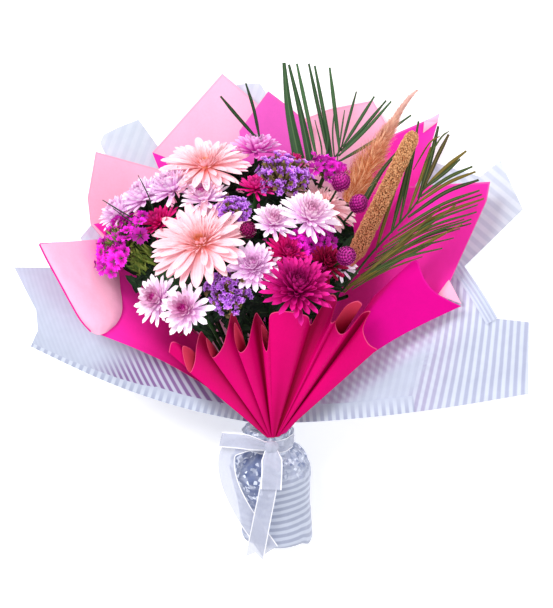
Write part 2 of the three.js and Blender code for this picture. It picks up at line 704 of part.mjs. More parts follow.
function petalRow(frame, count, form) {
  const row = [];
  for (let k = 0; k < count; k++) {
    const turn = ((k + (form.shift ?? 0)) / count) * 2 * Math.PI + spread(0.05) + form.spin;
    const lift = form.lift + spread(0.05);
    for (const [share, raise] of TRIES) {
      const solid = petal(frame, { ...form, turn, lift: lift + raise * DEG, long: form.long * share });
      if (isClear(solid)) {
        row.push(solid);
        break;
      }
    }
  }
  return row;
}

function dome(frame, radius, height, around = 6, up = 3) {
  const ball = new THREE.SphereGeometry(1, around, up).rotateX(Math.PI / 2);
  ball.scale(radius, radius, height / 2).translate(0, 0, height / 2).applyMatrix4(frame);
  return solidFrom(ball);
}

const MUM_ROWS = [
  { count: 11, lift: 0.1, long: 1, high: 3.2 },
  { count: 8, lift: 0.62, long: 0.84, high: 3.8, shift: 0.5 },
  { count: 4, lift: 1.08, long: 0.56, high: 4.2, shift: 0.2 },
];

function mum(head, spin) {
  const frame = frameOf(head);
  const petals = MUM_ROWS.slice(0, head.rows).flatMap((row) => petalRow(frame, row.count, {
    ...row, spin, from: 3.4, long: head.radius * row.long, wide: head.radius * 0.35, thick: 1.4,
    widest: [0.6], curl: head.radius * 0.06,
  }));
  return fuse([dome(frame, 5.6, 8.5), ...petals]);
}

function gerbera(head, spin) {
  const frame = frameOf(head);
  const shared = { spin, from: head.radius * 0.12, thick: 1.4, widest: [0.76] };
  const outer = petalRow(frame, head.outer, {
    ...shared, lift: 0.1, long: head.radius, wide: head.radius * 0.24, high: 3.4, curl: 2.4,
  });
  const inner = petalRow(frame, head.inner, {
    ...shared, lift: 0.3, long: head.radius * 0.74, wide: head.radius * 0.2, high: 4.6,
    curl: 1.5, shift: 0.5,
  });
  return fuse([dome(frame, head.radius * 0.17, 10, 8, 5), ...outer, ...inner]);
}

// Statice: papery cups crowded on a small core.
function statice(head, spin) {
  const frame = frameOf(head);
  const cups = [dome(frame, head.radius * 0.34, head.radius * 0.6)];
  for (let k = 0; k < head.florets; k++) {
    const sink = (k + 0.5) / head.florets;
    const lift = Math.asin(1 - 0.92 * sink);
    const far = head.radius * (0.82 + 0.18 * Math.sin(k * 2.1));
    const form = { turn: k * GOLDEN_TURN + spin, lift, from: 0, long: far, high: head.radius * 0.25,
      wide: 10, thick: 6, widest: [0.84], curl: 0 };
    for (const share of [1, 0.8, 0.62]) {
      const solid = petal(frame, { ...form, long: far * share });
      if (isClear(solid)) {
        cups.push(solid);
        break;
      }
    }
  }
  return fuse(cups);
}

// Dianthus: flat toothed florets, each on a stalk from the middle of the cluster.
function floret(centre, out, radius, root) {
  const across = out.clone().cross(Math.abs(out.z) > 0.9 ? V(0, 1, 0) : UP).normalize();
  const along = out.clone().cross(across);
  const points = [root, centre.clone().addScaledVector(out, -0.6)];
  const teeth = 10;
  for (let k = 0; k < teeth; k++) {
    const turn = (k / teeth) * 2 * Math.PI;
    const far = radius * (k % 2 ? 0.62 : 1);
    points.push(centre.clone().addScaledVector(across, Math.cos(turn) * far)
      .addScaledVector(along, Math.sin(turn) * far).addScaledVector(out, 1));
  }
  const faces = [];
  for (let k = 0; k < teeth; k++) {
    const [a, b] = [2 + k, 2 + ((k + 1) % teeth)];
    faces.push(0, b, a, 1, a, b);
  }
  const geometry = shapeFrom(points, faces);
  const solid = solidFrom(geometry);
  return solid.volume() > 0 ? solid : solidFrom(flipped(geometry));
}

function dianthus(head, spin) {
  const frame = frameOf(head);
  const florets = [dome(frame, 4, 9)];
  const root = V(0, 0, 4).applyMatrix4(frame);
  for (let k = 0; k < head.florets; k++) {
    const turn = k * GOLDEN_TURN + spin;
    const away = head.radius * 0.78 * Math.sqrt((k + 0.4) / head.florets);
    const rise = 16 - 9 * (away / head.radius) ** 2;
    const centre = V(Math.cos(turn) * away, Math.sin(turn) * away, rise);
    const out = V(centre.x * 0.03, centre.y * 0.03, 1).normalize();
    const toWorld = out.transformDirection(frame);
    for (const share of [1, 0.75, 0.55]) {
      const solid = floret(centre.clone().applyMatrix4(frame), toWorld, 10 * share, root);
      if (isClear(solid)) {
        florets.push(solid);
        break;
      }
    }
  }
  return fuse(florets);
}

// Globe amaranth: a ball of pointed bracts.
const GLOBE_SIDES = 8;
const GLOBE_ROWS = 5;

function globe(head) {
  const frame = frameOf(head);
  const ball = new THREE.SphereGeometry(head.radius, GLOBE_SIDES, GLOBE_ROWS).rotateX(Math.PI / 2);
  const place = ball.getAttribute('position');
  for (let i = 0; i < place.count; i++) {
    const p = V(place.getX(i), place.getY(i), place.getZ(i));
    const around = Math.round((Math.atan2(p.y, p.x) / (2 * Math.PI)) * GLOBE_SIDES);
    const row = Math.round((Math.acos(p.z / head.radius) / Math.PI) * GLOBE_ROWS);
    const poles = row === 0 || row === GLOBE_ROWS;
    p.multiplyScalar(poles ? 0.95 : (around + row) % 2 ? 1.1 : 0.86);
    place.setXYZ(i, p.x, p.y, p.z * 1.08 + head.radius * 1.04);
  }
  return solidFrom(ball.applyMatrix4(frame));
}

const MAKERS = [[GLOBES, globe, 0.7], [MUMS, mum, 0.6], [GERBERAS, gerbera, 0.55],
  [STATICE, statice, 0.8], [DIANTHUS, dianthus, 0.6]];
const COLOURS = new Map([[GERBERAS, '#f9c4b4'], [STATICE, '#8c50c8'], [DIANTHUS, '#e600b8'],
  [GLOBES, '#a80078']]);

for (const [list, make, roughness] of MAKERS) {
  for (const head of list) {
    const solid = settle(soundly((spin) => make(head, spin)));
    keep(head.name, head.colour ?? COLOURS.get(list), roughness, solid);
  }
}

// Millet: a long tapering head of packed seeds.
function milletHead({ base, tip, radius }) {
  const long = tip.distanceTo(base);
  const rings = 17;
  const sides = 8;
  const cover = new THREE.CylinderGeometry(1, 1, long, sides, rings);
  const place = cover.getAttribute('position');
  for (let i = 0; i < place.count; i++) {
    const p = V(place.getX(i), place.getY(i), place.getZ(i));
    const t = p.y / long + 0.5;
    const body = radius * (0.62 + 0.75 * Math.sin(Math.PI * Math.min(t * 0.72 + 0.16, 1)) ** 1.3 - 0.37);
    const k = Math.round((Math.atan2(p.z, p.x) / (2 * Math.PI)) * sides);
    const row = Math.round(t * rings);
    const seedRise = (k + row) % 2 ? 1 : 0.84;
    const far = Math.hypot(p.x, p.z) * body * seedRise * (t > 0.999 ? 0.5 : 1);
    const turn = Math.atan2(p.z, p.x);
    place.setXYZ(i, Math.cos(turn) * far, p.y + long / 2, Math.sin(turn) * far);
  }
  const aim = new THREE.Quaternion().setFromUnitVectors(V(0, 1, 0), tip.clone().sub(base).normalize());
  return solidFrom(cover.applyQuaternion(aim).translate(base.x, base.y, base.z));
}

// Plume: a slim rib with feathery barbs swept toward its tip.
function plumeHead({ base, tip, radius }, spin) {
  const along = tip.clone().sub(base);
  const barbs = [rod(new THREE.LineCurve3(base, tip), 3, 1)];
  const count = 24;
  const axis = along.clone().normalize();
  const side = axis.clone().cross(UP).normalize();
  const rise = side.clone().cross(axis);
  for (let k = 0; k < count; k++) {
    const t = 0.03 + 0.85 * (k / count);
    const root = base.clone().lerp(tip, t);
    const turn = k * GOLDEN_TURN + spin;
    const out = side.clone().multiplyScalar(Math.cos(turn)).addScaledVector(rise, Math.sin(turn));
    const far = radius * Math.sin(Math.PI * (0.16 + 0.8 * t)) ** 0.8;
    const end = root.clone().addScaledVector(out, far).addScaledVector(axis, 20);
    const solid = leafBlade(root, end, 5, 1.4, out, 0, 0.55);
    if (isClear(solid)) barbs.push(solid);
  }
  return fuse(barbs);
}

// Palm: long narrow leaflets along a rib.
function palm({ base, tip, tips }, wide, spin) {
  const leaflets = [rod(new THREE.LineCurve3(base, tip), 3.4, 1)];
  tips.forEach(([x, y], k) => {
    const t = 0.12 + 0.8 * Math.sin(Math.PI * (k + 0.5) / tips.length);
    const root = base.clone().lerp(tip, Math.min(t, 0.94));
    for (const drop of [0, 10, -10, 22, -22]) {
      const end = V(x, y, tip.z + drop - 4 * Math.cos(k * 1.7 + spin));
      const solid = leafBlade(root, end, wide, 1.3, UP, 3);
      if (isClear(solid)) {
        leaflets.push(solid);
        break;
      }
    }
  });
  return fuse(leaflets);
}

keep(MILLET.name, '#be8250', 0.85, settle(milletHead(MILLET)));
keep(PLUME.name, '#cd7846', 0.9, settle(soundly((spin) => plumeHead(PLUME, spin))));
keep(PALM_LEFT.name, '#2d5f3c', 0.5, settle(soundly((spin) => palm(PALM_LEFT, 6, spin))));
keep(PALM_RIGHT.name, '#56703a', 0.5, settle(soundly((spin) => palm(PALM_RIGHT, 5, spin))));

placed.splice(placed.indexOf(bundlePlace), 1);

// Leaves on the stems fill the gaps under the heads.
const LEAF_WIDTH = 13;
const LEAF_THICK = 1.5;
const LEAF_TURNS = 6;

function stemLeaves() {
  const leaves = [];
  for (const { path } of stems.filter((s, k) => k % 2 === 0)) {
    const root = path.getPointAt(0.82);
    const along = path.getTangentAt(0.85);
    for (let k = 0; k < LEAF_TURNS; k++) {
      const turn = draw() * 2 * Math.PI;
      const side = along.clone().cross(UP).normalize();
      const rise = side.clone().cross(along);
      const out = side.multiplyScalar(Math.cos(turn)).addScaledVector(rise, Math.sin(turn));
      const end = root.clone().addScaledVector(out, 30).addScaledVector(along, 26);
      const solid = leafBlade(root, end, LEAF_WIDTH, LEAF_THICK, along.clone().sub(out), 2, 0.5);
      if (isClear(solid)) {
        leaves.push(solid);
        break;
      }
    }
  }
  return leaves;
}

keep('stems', '#3f7a35', 0.6, soundly(() => fuse([bundle, ...stemLeaves()])));

const bouquet = new THREE.Group();
for (const [name, { solid, colour, roughness }] of parts) {
  const material = new THREE.MeshStandardMaterial({ color: colour, roughness });
  const mesh = new THREE.Mesh(geometryFrom(solid), material);
  mesh.name = name;
  bouquet.add(mesh);
}

// The origin is under the middle of the whole bouquet, on the surface.
const middle = new THREE.Box3().setFromObject(bouquet, true).getCenter(V(0, 0, 0));
bouquet.position.set(-middle.x, -middle.y, 0);

export default bouquet;
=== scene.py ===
"""A mixed flower bouquet in pink paper and striped film, lying on its back."""

import math
import random

import bpy
import numpy as np
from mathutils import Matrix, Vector


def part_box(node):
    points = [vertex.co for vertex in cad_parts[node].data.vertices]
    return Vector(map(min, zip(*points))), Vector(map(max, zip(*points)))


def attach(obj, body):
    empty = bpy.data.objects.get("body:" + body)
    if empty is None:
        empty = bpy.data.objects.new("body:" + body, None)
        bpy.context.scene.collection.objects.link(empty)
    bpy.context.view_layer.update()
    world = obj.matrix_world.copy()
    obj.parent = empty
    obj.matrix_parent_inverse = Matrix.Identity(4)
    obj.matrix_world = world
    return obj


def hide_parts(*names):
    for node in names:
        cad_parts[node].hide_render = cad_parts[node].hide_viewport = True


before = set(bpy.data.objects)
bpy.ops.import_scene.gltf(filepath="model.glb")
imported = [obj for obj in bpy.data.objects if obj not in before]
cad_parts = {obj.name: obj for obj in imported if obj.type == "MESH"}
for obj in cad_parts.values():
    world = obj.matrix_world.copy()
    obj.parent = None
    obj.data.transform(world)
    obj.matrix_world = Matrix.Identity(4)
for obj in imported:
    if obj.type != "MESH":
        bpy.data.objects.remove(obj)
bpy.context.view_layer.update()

rng = random.Random(7)

# Sizes are in millimetres from the tie: X to the right, Y towards the heads, Z up.
MM = 0.001
TIE_HEIGHT = 74.0
NECK_RADIUS = 25.0
HANDLE_LENGTH = 112.0
HANDLE_RADIUS = 38.0
HANDLE_WIDEST = HANDLE_LENGTH - 8
HANDLE_TILT = math.asin(TIE_HEIGHT / math.hypot(HANDLE_WIDEST, HANDLE_RADIUS)) - math.atan2(
    HANDLE_RADIUS, HANDLE_WIDEST)
TILT_COS, TILT_SIN = math.cos(HANDLE_TILT), math.sin(HANDLE_TILT)
AXIS = np.array([0, TILT_COS, TILT_SIN])
TIE = np.array([0, 0, TIE_HEIGHT])
UP = np.array([0, 0, 1.0])
FULL_TURN = 2 * math.pi
GOLDEN_TURN = math.radians(137.5)
BAND_MIDDLE = -2.5

band_low, band_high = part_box("ribbon_band")
ORIGIN = np.array([(band_low[0] + band_high[0]) / 2,
                   (band_low[1] + band_high[1]) / 2 - BAND_MIDDLE * MM * TILT_COS, 0])


def vec(*xyz):
    return np.array(xyz, dtype=float)


def unit(v):
    return v / np.maximum(np.linalg.norm(v, axis=-1, keepdims=True), 1e-9)


def smooth(value, start, end):
    """How far a value is from the start to the end: 0 to 1, with a soft start and a soft end."""
    t = np.clip((value - start) / (end - start), 0, 1)
    return t * t * (3 - 2 * t)


def lerp(a, b, t):
    return a + (b - a) * t


def jitter(amount):
    """A random step either way, up to the amount."""
    return rng.uniform(-amount, amount)


def any_turn():
    return rng.random() * FULL_TURN


def turns(count):
    """Turns spaced evenly round a circle."""
    return np.linspace(0, FULL_TURN, count, endpoint=False)


def stacked(*parts):
    """Points from their parts, such as X, Y and Z."""
    return np.stack(np.broadcast_arrays(*parts), -1)


def polar(turn, far=1.0, up=0.0):
    """A place at a turn, so far out and so far up."""
    return vec(math.cos(turn) * far, math.sin(turn) * far, up)


def around(turn, side, over):
    """The way that a turn points, from the side towards over."""
    turn = np.asarray(turn)[..., None]
    return side * np.cos(turn) + over * np.sin(turn)


def square_to(axis):
    """Two directions square to an axis and to each other."""
    side = unit(np.cross(axis, UP))
    return side, np.cross(side, axis)


def headings(line):
    """The way that a line runs at each of its points."""
    return unit(np.gradient(line, axis=0))


def lengths(line):
    """How far along a line each of its points is."""
    return np.concatenate([[0], np.cumsum(np.linalg.norm(np.diff(line, axis=0), axis=1))])


def catmull(points, count):
    """A smooth line through the points."""
    p = np.array(points, dtype=float)
    p = np.vstack([2 * p[0] - p[1], p, 2 * p[-1] - p[-2]])
    k = np.linspace(0, len(p) - 3, count)
    i = np.minimum(k.astype(int), len(p) - 4)
    t = (k - i)[:, None]
    a, b, c, d = (p[i + n] for n in range(4))
    return 0.5 * (2 * b + (c - a) * t + (2 * a - 5 * b + 4 * c - d) * t ** 2
                  + (3 * b - a - 3 * c + d) * t ** 3)


class Piece:
    """The surfaces of one piece, each with its place across and along, its tone and its depth."""

    def __init__(self):
        self.parts, self.count = [], 0

    def grid(self, points, tone=0.5, depth=0.0, paint=0, places=None, closed=False):
        """Add a surface through rows of points. In a closed one the last column joins the first."""
        rows, columns = points.shape[:2]
        if places is None:
            places = stacked(np.linspace(0, 1, columns), np.linspace(0, 1, rows)[:, None])
        index = np.arange(rows * columns).reshape(rows, columns) + self.count
        if closed:
            index = np.concatenate([index, index[:, :1]], axis=1)
        faces = np.stack([index[:-1, :-1], index[:-1, 1:], index[1:, 1:], index[1:, :-1]], -1).reshape(-1, 4)
        tones, depths = (np.broadcast_to(value, (rows, columns)).reshape(-1) for value in (tone, depth))
        self.parts.append((points.reshape(-1, 3), places.reshape(-1, 2), tones, depths, faces,
                           np.full(len(faces), paint)))
        self.count += rows * columns

    def make(self, name, finishes, node, slot):
        """Build the piece, which rides on the root and takes the place of a node."""
        points, places, tones, depths, faces, paints = map(np.concatenate, zip(*self.parts))
        mesh = bpy.data.meshes.new(name)
        mesh.from_pydata((points * MM + ORIGIN).tolist(), [], faces.tolist())
        layer = mesh.uv_layers.new(name="UVMap")
        layer.data.foreach_set("uv", places[faces.reshape(-1)].astype(np.float32).reshape(-1))
        for key, values in (("tone", tones), ("depth", depths)):
            mesh.attributes.new(key, "FLOAT", "POINT").data.foreach_set("value", values.astype(np.float32))
        mesh.polygons.foreach_set("use_smooth", np.ones(len(faces), dtype=bool))
        mesh.polygons.foreach_set("material_index", paints.astype(np.int32))
        for finish in finishes:
            mesh.materials.append(finish)
        mesh.update()
        obj = bpy.data.objects.new(name, mesh)
        bpy.context.scene.collection.objects.link(obj)
        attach(obj, "root")
        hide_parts(node)
        return obj


def tube(piece, points, thick, count, tone, sides=6, paint=0, taper=1.0):
    """A round stalk or rod along a smooth line through the points."""
    line = catmull(points, count)
    run = headings(line)
    side = unit(np.cross(run, vec(0.31, 0.17, 0.93)))
    ring = around(turns(sides), side[:, None], np.cross(run, side)[:, None])
    radius = thick / 2 * np.linspace(1, taper, count)[:, None, None]
    piece.grid(line[:, None] + ring * radius, tone=tone, paint=paint, closed=True)


def two_sided(piece, grid, thick, places=None, tone=0.0, paint=0, depth=None, back_tone=None):
    """Both faces of a sheet and its rim. Where no depth is given, it is 0 on the front and 1 on the back."""
    n = unit(np.cross(np.gradient(grid, axis=1), np.gradient(grid, axis=0)))
    if n[..., 2].mean() < 0:
        n = -n
    front = grid + n * thick
    front_depth, back_depth, rim_depth = (0.0, 1.0, 0.5) if depth is None else (depth, depth, 0.0)
    piece.grid(front, tone=tone, depth=front_depth, places=places, paint=paint)
    piece.grid(grid, tone=tone if back_tone is None else back_tone, depth=back_depth, places=places,
               paint=paint)
    for cut in (np.s_[0], np.s_[-1], np.s_[:, 0], np.s_[:, -1]):
        piece.grid(np.stack([front[cut], grid[cut]]), depth=rim_depth, paint=paint,
                   places=None if places is None else np.stack([places[cut], places[cut]]))


# Finishes


class Value:
    """A value or colour that changes over a surface, reckoned with as if it were a number."""

    def __init__(self, socket):
        self.socket = socket

    def maths(self, operation, *others):
        inputs = dict(enumerate((self, *others)))
        return add(self.socket.id_data, "ShaderNodeMath", inputs, operation=operation)

    def __add__(self, other):
        return self.maths("ADD", other)

    def __mul__(self, other):
        return self.maths("MULTIPLY", other)

    def held(self):
        """The value, kept between 0 and 1."""
        return self.maths("MAXIMUM", 0.0).maths("MINIMUM", 1.0)


def feed(place, value):
    """Set a node's input, or link it to a value."""
    if isinstance(value, Value):
        place.id_data.links.new(value.socket, place)
    else:
        place.default_value = value


def add(tree, kind, inputs=None, output=0, **settings):
    """A new node, as the value of one of its outputs."""
    made = tree.nodes.new(kind)
    for key, value in settings.items():
        setattr(made, key, value)
    for key, value in (inputs or {}).items():
        feed(made.inputs[key], value)
    return Value(made.outputs[output])


def tint(text):
    """A colour from its screen value, such as ff2090."""
    parts = [int(text[k:k + 2], 16) / 255 for k in (0, 2, 4)]
    return (*[c / 12.92 if c <= 0.04045 else ((c + 0.055) / 1.055) ** 2.4 for c in parts], 1.0)


def blend(share, a, b, how="MIX"):
    """Two colours, each a value or a screen value, mixed by the share of the second."""
    a, b = (tint(colour) if isinstance(colour, str) else colour for colour in (a, b))
    tree = next(value for value in (share, a, b) if isinstance(value, Value)).socket.id_data
    return add(tree, "ShaderNodeMix", {0: share, 6: a, 7: b}, output=2, data_type="RGBA", blend_type=how)


def ramp(tree, factor, stops):
    """A colour that changes with the factor, from stop to stop."""
    made = add(tree, "ShaderNodeValToRGB", {0: factor})
    places = made.socket.node.color_ramp.elements
    while len(places) < len(stops):
        places.new(0.5)
    for element, (place, colour) in zip(places, stops):
        element.position = place
        element.color = tint(colour)
    return made


def group(name, inputs, outputs):
    """A shared effect: a node group with named inputs and outputs."""
    tree = bpy.data.node_groups.new(name, "ShaderNodeTree")
    for key, value in inputs.items():
        socket = tree.interface.new_socket(name=key, in_out="INPUT", socket_type="NodeSocketFloat")
        socket.default_value = value
    for key in outputs:
        tree.interface.new_socket(name=key, in_out="OUTPUT", socket_type="NodeSocketFloat")
    given = tree.nodes.new("NodeGroupInput").outputs
    return tree, [Value(given[key]) for key in inputs], tree.nodes.new("NodeGroupOutput").inputs


def make_mottle():
    """Soft uneven tone and grain over any surface."""
    tree, (scale, amount), result = group("mottle", {"Scale": 90.0, "Amount": 0.1}, ["Shade", "Height"])
    where = add(tree, "ShaderNodeTexCoord", output="Object")
    broad = add(tree, "ShaderNodeTexNoise", {"Vector": where, "Scale": scale, "Detail": 3.0})
    fine = add(tree, "ShaderNodeTexNoise", {"Vector": where, "Scale": scale * 7.0, "Detail": 2.0})
    both = broad * 0.6 + fine * 0.4
    feed(result["Shade"], (both + -0.5) * (amount * 4.0) + 1.0)
    feed(result["Height"], both)
    return tree


def make_veins():
    """Fine ribs that run along a petal or a leaf."""
    tree, (count, wander), result = group("veins", {"Count": 9.0, "Wander": 0.1}, ["Rib"])
    place = add(tree, "ShaderNodeUVMap")
    across = add(tree, "ShaderNodeSeparateXYZ", {0: place})
    noise = add(tree, "ShaderNodeTexNoise", {"Vector": place, "Scale": 4.0})
    turn = (across + noise * wander) * count * FULL_TURN
    feed(result["Rib"], turn.maths("COSINE") * 0.5 + 0.5)
    return tree


MOTTLE = make_mottle()
VEINS = make_veins()


def shared(tree, effect, output, **inputs):
    """A shared effect, placed in a material with its own values."""
    return add(tree, "ShaderNodeGroup", inputs, output, node_tree=effect)


def attribute(tree, name):
    """What the mesh holds under that name: its tone or its depth."""
    return add(tree, "ShaderNodeAttribute", output="Fac", attribute_name=name)


def start(name, roughness, coat=0.0, sheen=0.0, specular=0.5):
    """A new material, its node tree and its shader."""
    finish = bpy.data.materials.new(name)
    finish.use_nodes = True
    tree = finish.node_tree
    shader = tree.nodes["Principled BSDF"]
    for key, value in (("Roughness", roughness), ("Coat Weight", coat), ("Sheen Weight", sheen),
                       ("Specular IOR Level", specular)):
        shader.inputs[key].default_value = value
    return finish, tree, shader


def place_parts(tree):
    """The place across a surface and the place along it."""
    place = add(tree, "ShaderNodeUVMap")
    return [add(tree, "ShaderNodeSeparateXYZ", {0: place}, k) for k in (0, 1)]


def colour_with(shader, colour, shade, glow=0.0):
    """Give the shader its colour, shaded, and let some of it glow as painted light, though the thing is no
    lamp.
    """
    shaded = blend(1.0, colour, shade, "MULTIPLY")
    feed(shader.inputs["Base Color"], shaded)
    if glow:
        feed(shader.inputs["Emission Color"], shaded)
        shader.inputs["Emission Strength"].default_value = glow


def bump(shader, height, strength, distance=0.0004):
    """Shade a surface as if it rose with the height."""
    inputs = {"Height": height, "Strength": strength, "Distance": distance}
    feed(shader.inputs["Normal"], add(shader.id_data, "ShaderNodeBump", inputs))


def petal_finish(name, root, body, tip, eye, ribs=5.0, varied=0.16, glow=0.12, eye_reach=2.4, middle=0.42,
                 end=0.95):
    """Petals: coloured from root to tip, darker in their ribs, with an eye at the middle and a painted glow.
    """
    finish, tree, shader = start(name, 0.6, specular=0.2)
    _, along = place_parts(tree)
    colour = ramp(tree, along, [(0.0, root), (middle, body), (end, tip)])
    colour = blend(attribute(tree, "depth").maths("POWER", eye_reach), colour, eye)
    rib = shared(tree, VEINS, "Rib", Count=ribs, Wander=0.12)
    tone = attribute(tree, "tone") * varied + (1.0 - varied / 2)
    shade = shared(tree, MOTTLE, "Shade", Scale=140.0, Amount=0.12) * tone * (rib * -0.1 + 1.04)
    colour_with(shader, colour, shade, glow)
    bump(shader, rib, 0.3)
    return finish


def leaf_finish(name, dark, light, ribs=7.0, rough=0.5, keel_tint="8fa85a"):
    """Leaves: from dark to light by their tone, ribbed, with a keel of another colour."""
    finish, tree, shader = start(name, rough, specular=0.3)
    across, _ = place_parts(tree)
    colour = blend(attribute(tree, "tone"), dark, light)
    rib = shared(tree, VEINS, "Rib", Count=ribs, Wander=0.04)
    keel = (across + -0.5).maths("ABSOLUTE").maths("LESS_THAN", 0.06)
    colour = blend(keel * 0.3, colour, keel_tint)
    colour_with(shader, colour,
                shared(tree, MOTTLE, "Shade", Scale=120.0, Amount=0.2) * (rib * -0.16 + 1.06))
    bump(shader, rib, 0.4)
    return finish


def paper_finish(name, front, back, shadow, rim):
    """Wrapping paper: satin, one colour on its front and another on its back, a pale cut rim, painted shade
    by its tone and a painted glow.
    """
    finish, tree, shader = start(name, 0.45, specular=0.06)
    _, along = place_parts(tree)
    colour = blend(attribute(tree, "depth"), front, back)
    colour = blend(attribute(tree, "tone"), colour, shadow)
    colour = blend(along.maths("GREATER_THAN", 0.993) * 0.6, colour, rim)
    shade = (shared(tree, MOTTLE, "Shade", Scale=14.0, Amount=0.05)
             * shared(tree, MOTTLE, "Shade", Scale=420.0, Amount=0.05))
    colour_with(shader, colour, shade, 0.08)
    bump(shader, shared(tree, MOTTLE, "Height", Scale=420.0, Amount=0.05), 0.12)
    return finish


def film_finish(name, pitch, clear, pearl, shadow, second_pitch=0.0, crackled=False):
    """Film with pearly stripes: the place across is the distance over them, tone is how strong they are.

    Depth is how far the shadow colour shows as painted shade, and also how strong the second set of stripes
    is where there is one.
    Where crackled film has weak stripes, it breaks into dark and bright facets: painted shade and painted
    glints.
    """
    finish, tree, shader = start(name, 0.45, coat=0.02, specular=0.15)
    across, along = place_parts(tree)
    tone, depth = attribute(tree, "tone"), attribute(tree, "depth")
    wave = (across * (FULL_TURN / pitch)).maths("SINE")
    stripe = ((wave * 1.1 + 0.5).held() + -0.5) * tone + 0.5
    if second_pitch:
        crossing = (along * (FULL_TURN / second_pitch)).maths("SINE")
        stripe = (crossing * depth * depth * 0.5 + stripe).held()
    colour = blend(stripe, clear, pearl)
    colour = blend(depth * (stripe * -0.8 + 1.0), colour, shadow)
    if crackled:
        where = add(tree, "ShaderNodeTexCoord", output="Object")
        cells = add(tree, "ShaderNodeTexVoronoi", {"Vector": where, "Scale": 310.0}, "Color")
        facet = add(tree, "ShaderNodeSeparateColor", {0: cells})
        loose = (tone * -2.2 + 1.5).held()
        # Painted shade in the dark facets, painted glints in the bright ones.
        colour = blend((facet * -1.8 + 0.8).maths("MAXIMUM", 0.0) * loose, colour, "5c688c")
        colour = blend((facet * 3.0 + -2.1).maths("MAXIMUM", 0.0) * loose, colour, "dce2f0")
    # Some of the film's colour glows: painted light that lifts it where shade falls.
    colour_with(shader, colour, shared(tree, MOTTLE, "Shade", Scale=16.0, Amount=0.08), 0.32)
    feed(shader.inputs["Alpha"], stripe * 0.04 + 0.93)
    feed(shader.inputs["Roughness"], stripe * 0.2 + 0.35)
    bump(shader, shared(tree, MOTTLE, "Height", Scale=16.0, Amount=0.08), 0.2, 0.001)
    return finish


def ribbon_finish():
    """Sheer organza: fine weave, with bright satin edges."""
    finish, tree, shader = start("ribbon_organza", 0.45, sheen=0.2)
    across, along = place_parts(tree)
    satin = (across + -0.5).maths("ABSOLUTE").maths("GREATER_THAN", 0.44)
    weave = (across * 150.0).maths("SINE") * (along * 60.0).maths("SINE")
    colour_with(shader, blend(satin, "bec2d6", "f0f0f8"),
                shared(tree, MOTTLE, "Shade", Scale=60.0, Amount=0.08))
    feed(shader.inputs["Alpha"], (weave * 0.05 + 0.72).maths("MAXIMUM", satin))
    bump(shader, weave, 0.2)
    return finish


def seed_finish(name, dark, light, tip=None, glow=0.0):
    """Seeds, hairs or fibres: each with its own tone, and the tip's colour where depth is 1."""
    finish, tree, shader = start(name, 0.8, specular=0.15)
    colour = blend(attribute(tree, "tone"), dark, light)
    if tip:
        colour = blend(attribute(tree, "depth"), colour, tip)
    colour_with(shader, colour, shared(tree, MOTTLE, "Shade", Scale=260.0, Amount=0.2), glow)
    bump(shader, shared(tree, MOTTLE, "Height", Scale=260.0, Amount=0.2), 0.3)
    return finish


WHITE_PETAL = petal_finish("petals_lilac_white", "d060c0", "f6def8", "fffcff", "bc2490", varied=0.2,
                           glow=0.16, eye_reach=1.35, middle=0.4, end=0.9)
BLUSH_PETAL = petal_finish("petals_blush", "d470c4", "f2ccf0", "fcf2fe", "c44cac", varied=0.2,
                           eye_reach=1.9)
FUCHSIA_PETAL = petal_finish("petals_fuchsia", "580030", "b80070", "e4249c", "54001c", varied=0.4,
                             eye_reach=1.6)
ORCHID_PETAL = petal_finish("petals_orchid", "b01c9c", "e45cc8", "fccef6", "9c1884")
WINE_PETAL = petal_finish("petals_wine", "3c0014", "7a002c", "ac0848", "2c000c", varied=0.3)
CRIMSON_PETAL = petal_finish("petals_crimson", "80003c", "cc006c", "e82890", "700034", varied=0.35)
CERISE_PETAL = petal_finish("petals_cerise", "90004c", "d80484", "f440a8", "740048", varied=0.4)
PEACH_PETAL = petal_finish("petals_peach", "ec8478", "f4bec8", "f8d2dc", "f0a09c", ribs=4.0,
                           varied=0.2, eye_reach=2.6, middle=0.33)
CORAL_DISC = petal_finish("disc_coral", "d86848", "f09c80", "f8b8a0", "d87850", ribs=2.0)
STATICE_CUP = petal_finish("statice_cups", "501878", "a844c4", "d8a0f4", "7c38a0", ribs=6.0, varied=0.7,
                           glow=0.2)
CALYX = leaf_finish("statice_stalks", "4c3c24", "9c8054", ribs=3.0, rough=0.7)
DIANTHUS_PETAL = petal_finish("dianthus_petals", "540044", "b80098", "dc28c8", "840068", ribs=7.0,
                              varied=0.85)
GLOBE_BRACT = petal_finish("globe_bracts", "64004c", "a80c80", "cc44a4", "600040", ribs=2.0, varied=0.5)
DARK_BRACT = petal_finish("globe_dark_bracts", "3c0024", "780048", "a8206c", "300018", ribs=2.0, varied=0.4)
SEED = seed_finish("millet_seeds", "b06c40", "f0bc88", "ac604c")
# The millet's core is dark brown: painted shade in the gaps between the seeds.
SHADED_SEED_GAP = seed_finish("millet_core", "54301c", "6c4028")
# The plume's hairs glow a little: painted light.
PLUME_HAIR = seed_finish("plume_hairs", "c46838", "fcd4a8", "dcb0a8", 0.14)
PALM_DARK = leaf_finish("palm_dark_leaf", "1c3a1c", "3a6238", ribs=5.0, keel_tint="6a8a54")
PALM_OLIVE = leaf_finish("palm_olive_leaf", "182c10", "38501c", ribs=5.0, keel_tint="98943c")
PALM_BROWN = leaf_finish("palm_brown_leaf", "342c04", "6c5c14", ribs=5.0, keel_tint="a88c34")
# The leaves' greens are darkened as painted shade in the gaps between the heads.
LEAF = leaf_finish("leaf_green", "0c2214", "28542a", keel_tint="547c40")
BRACT_LEAF = leaf_finish("bract_green", "3c6420", "a4b850")
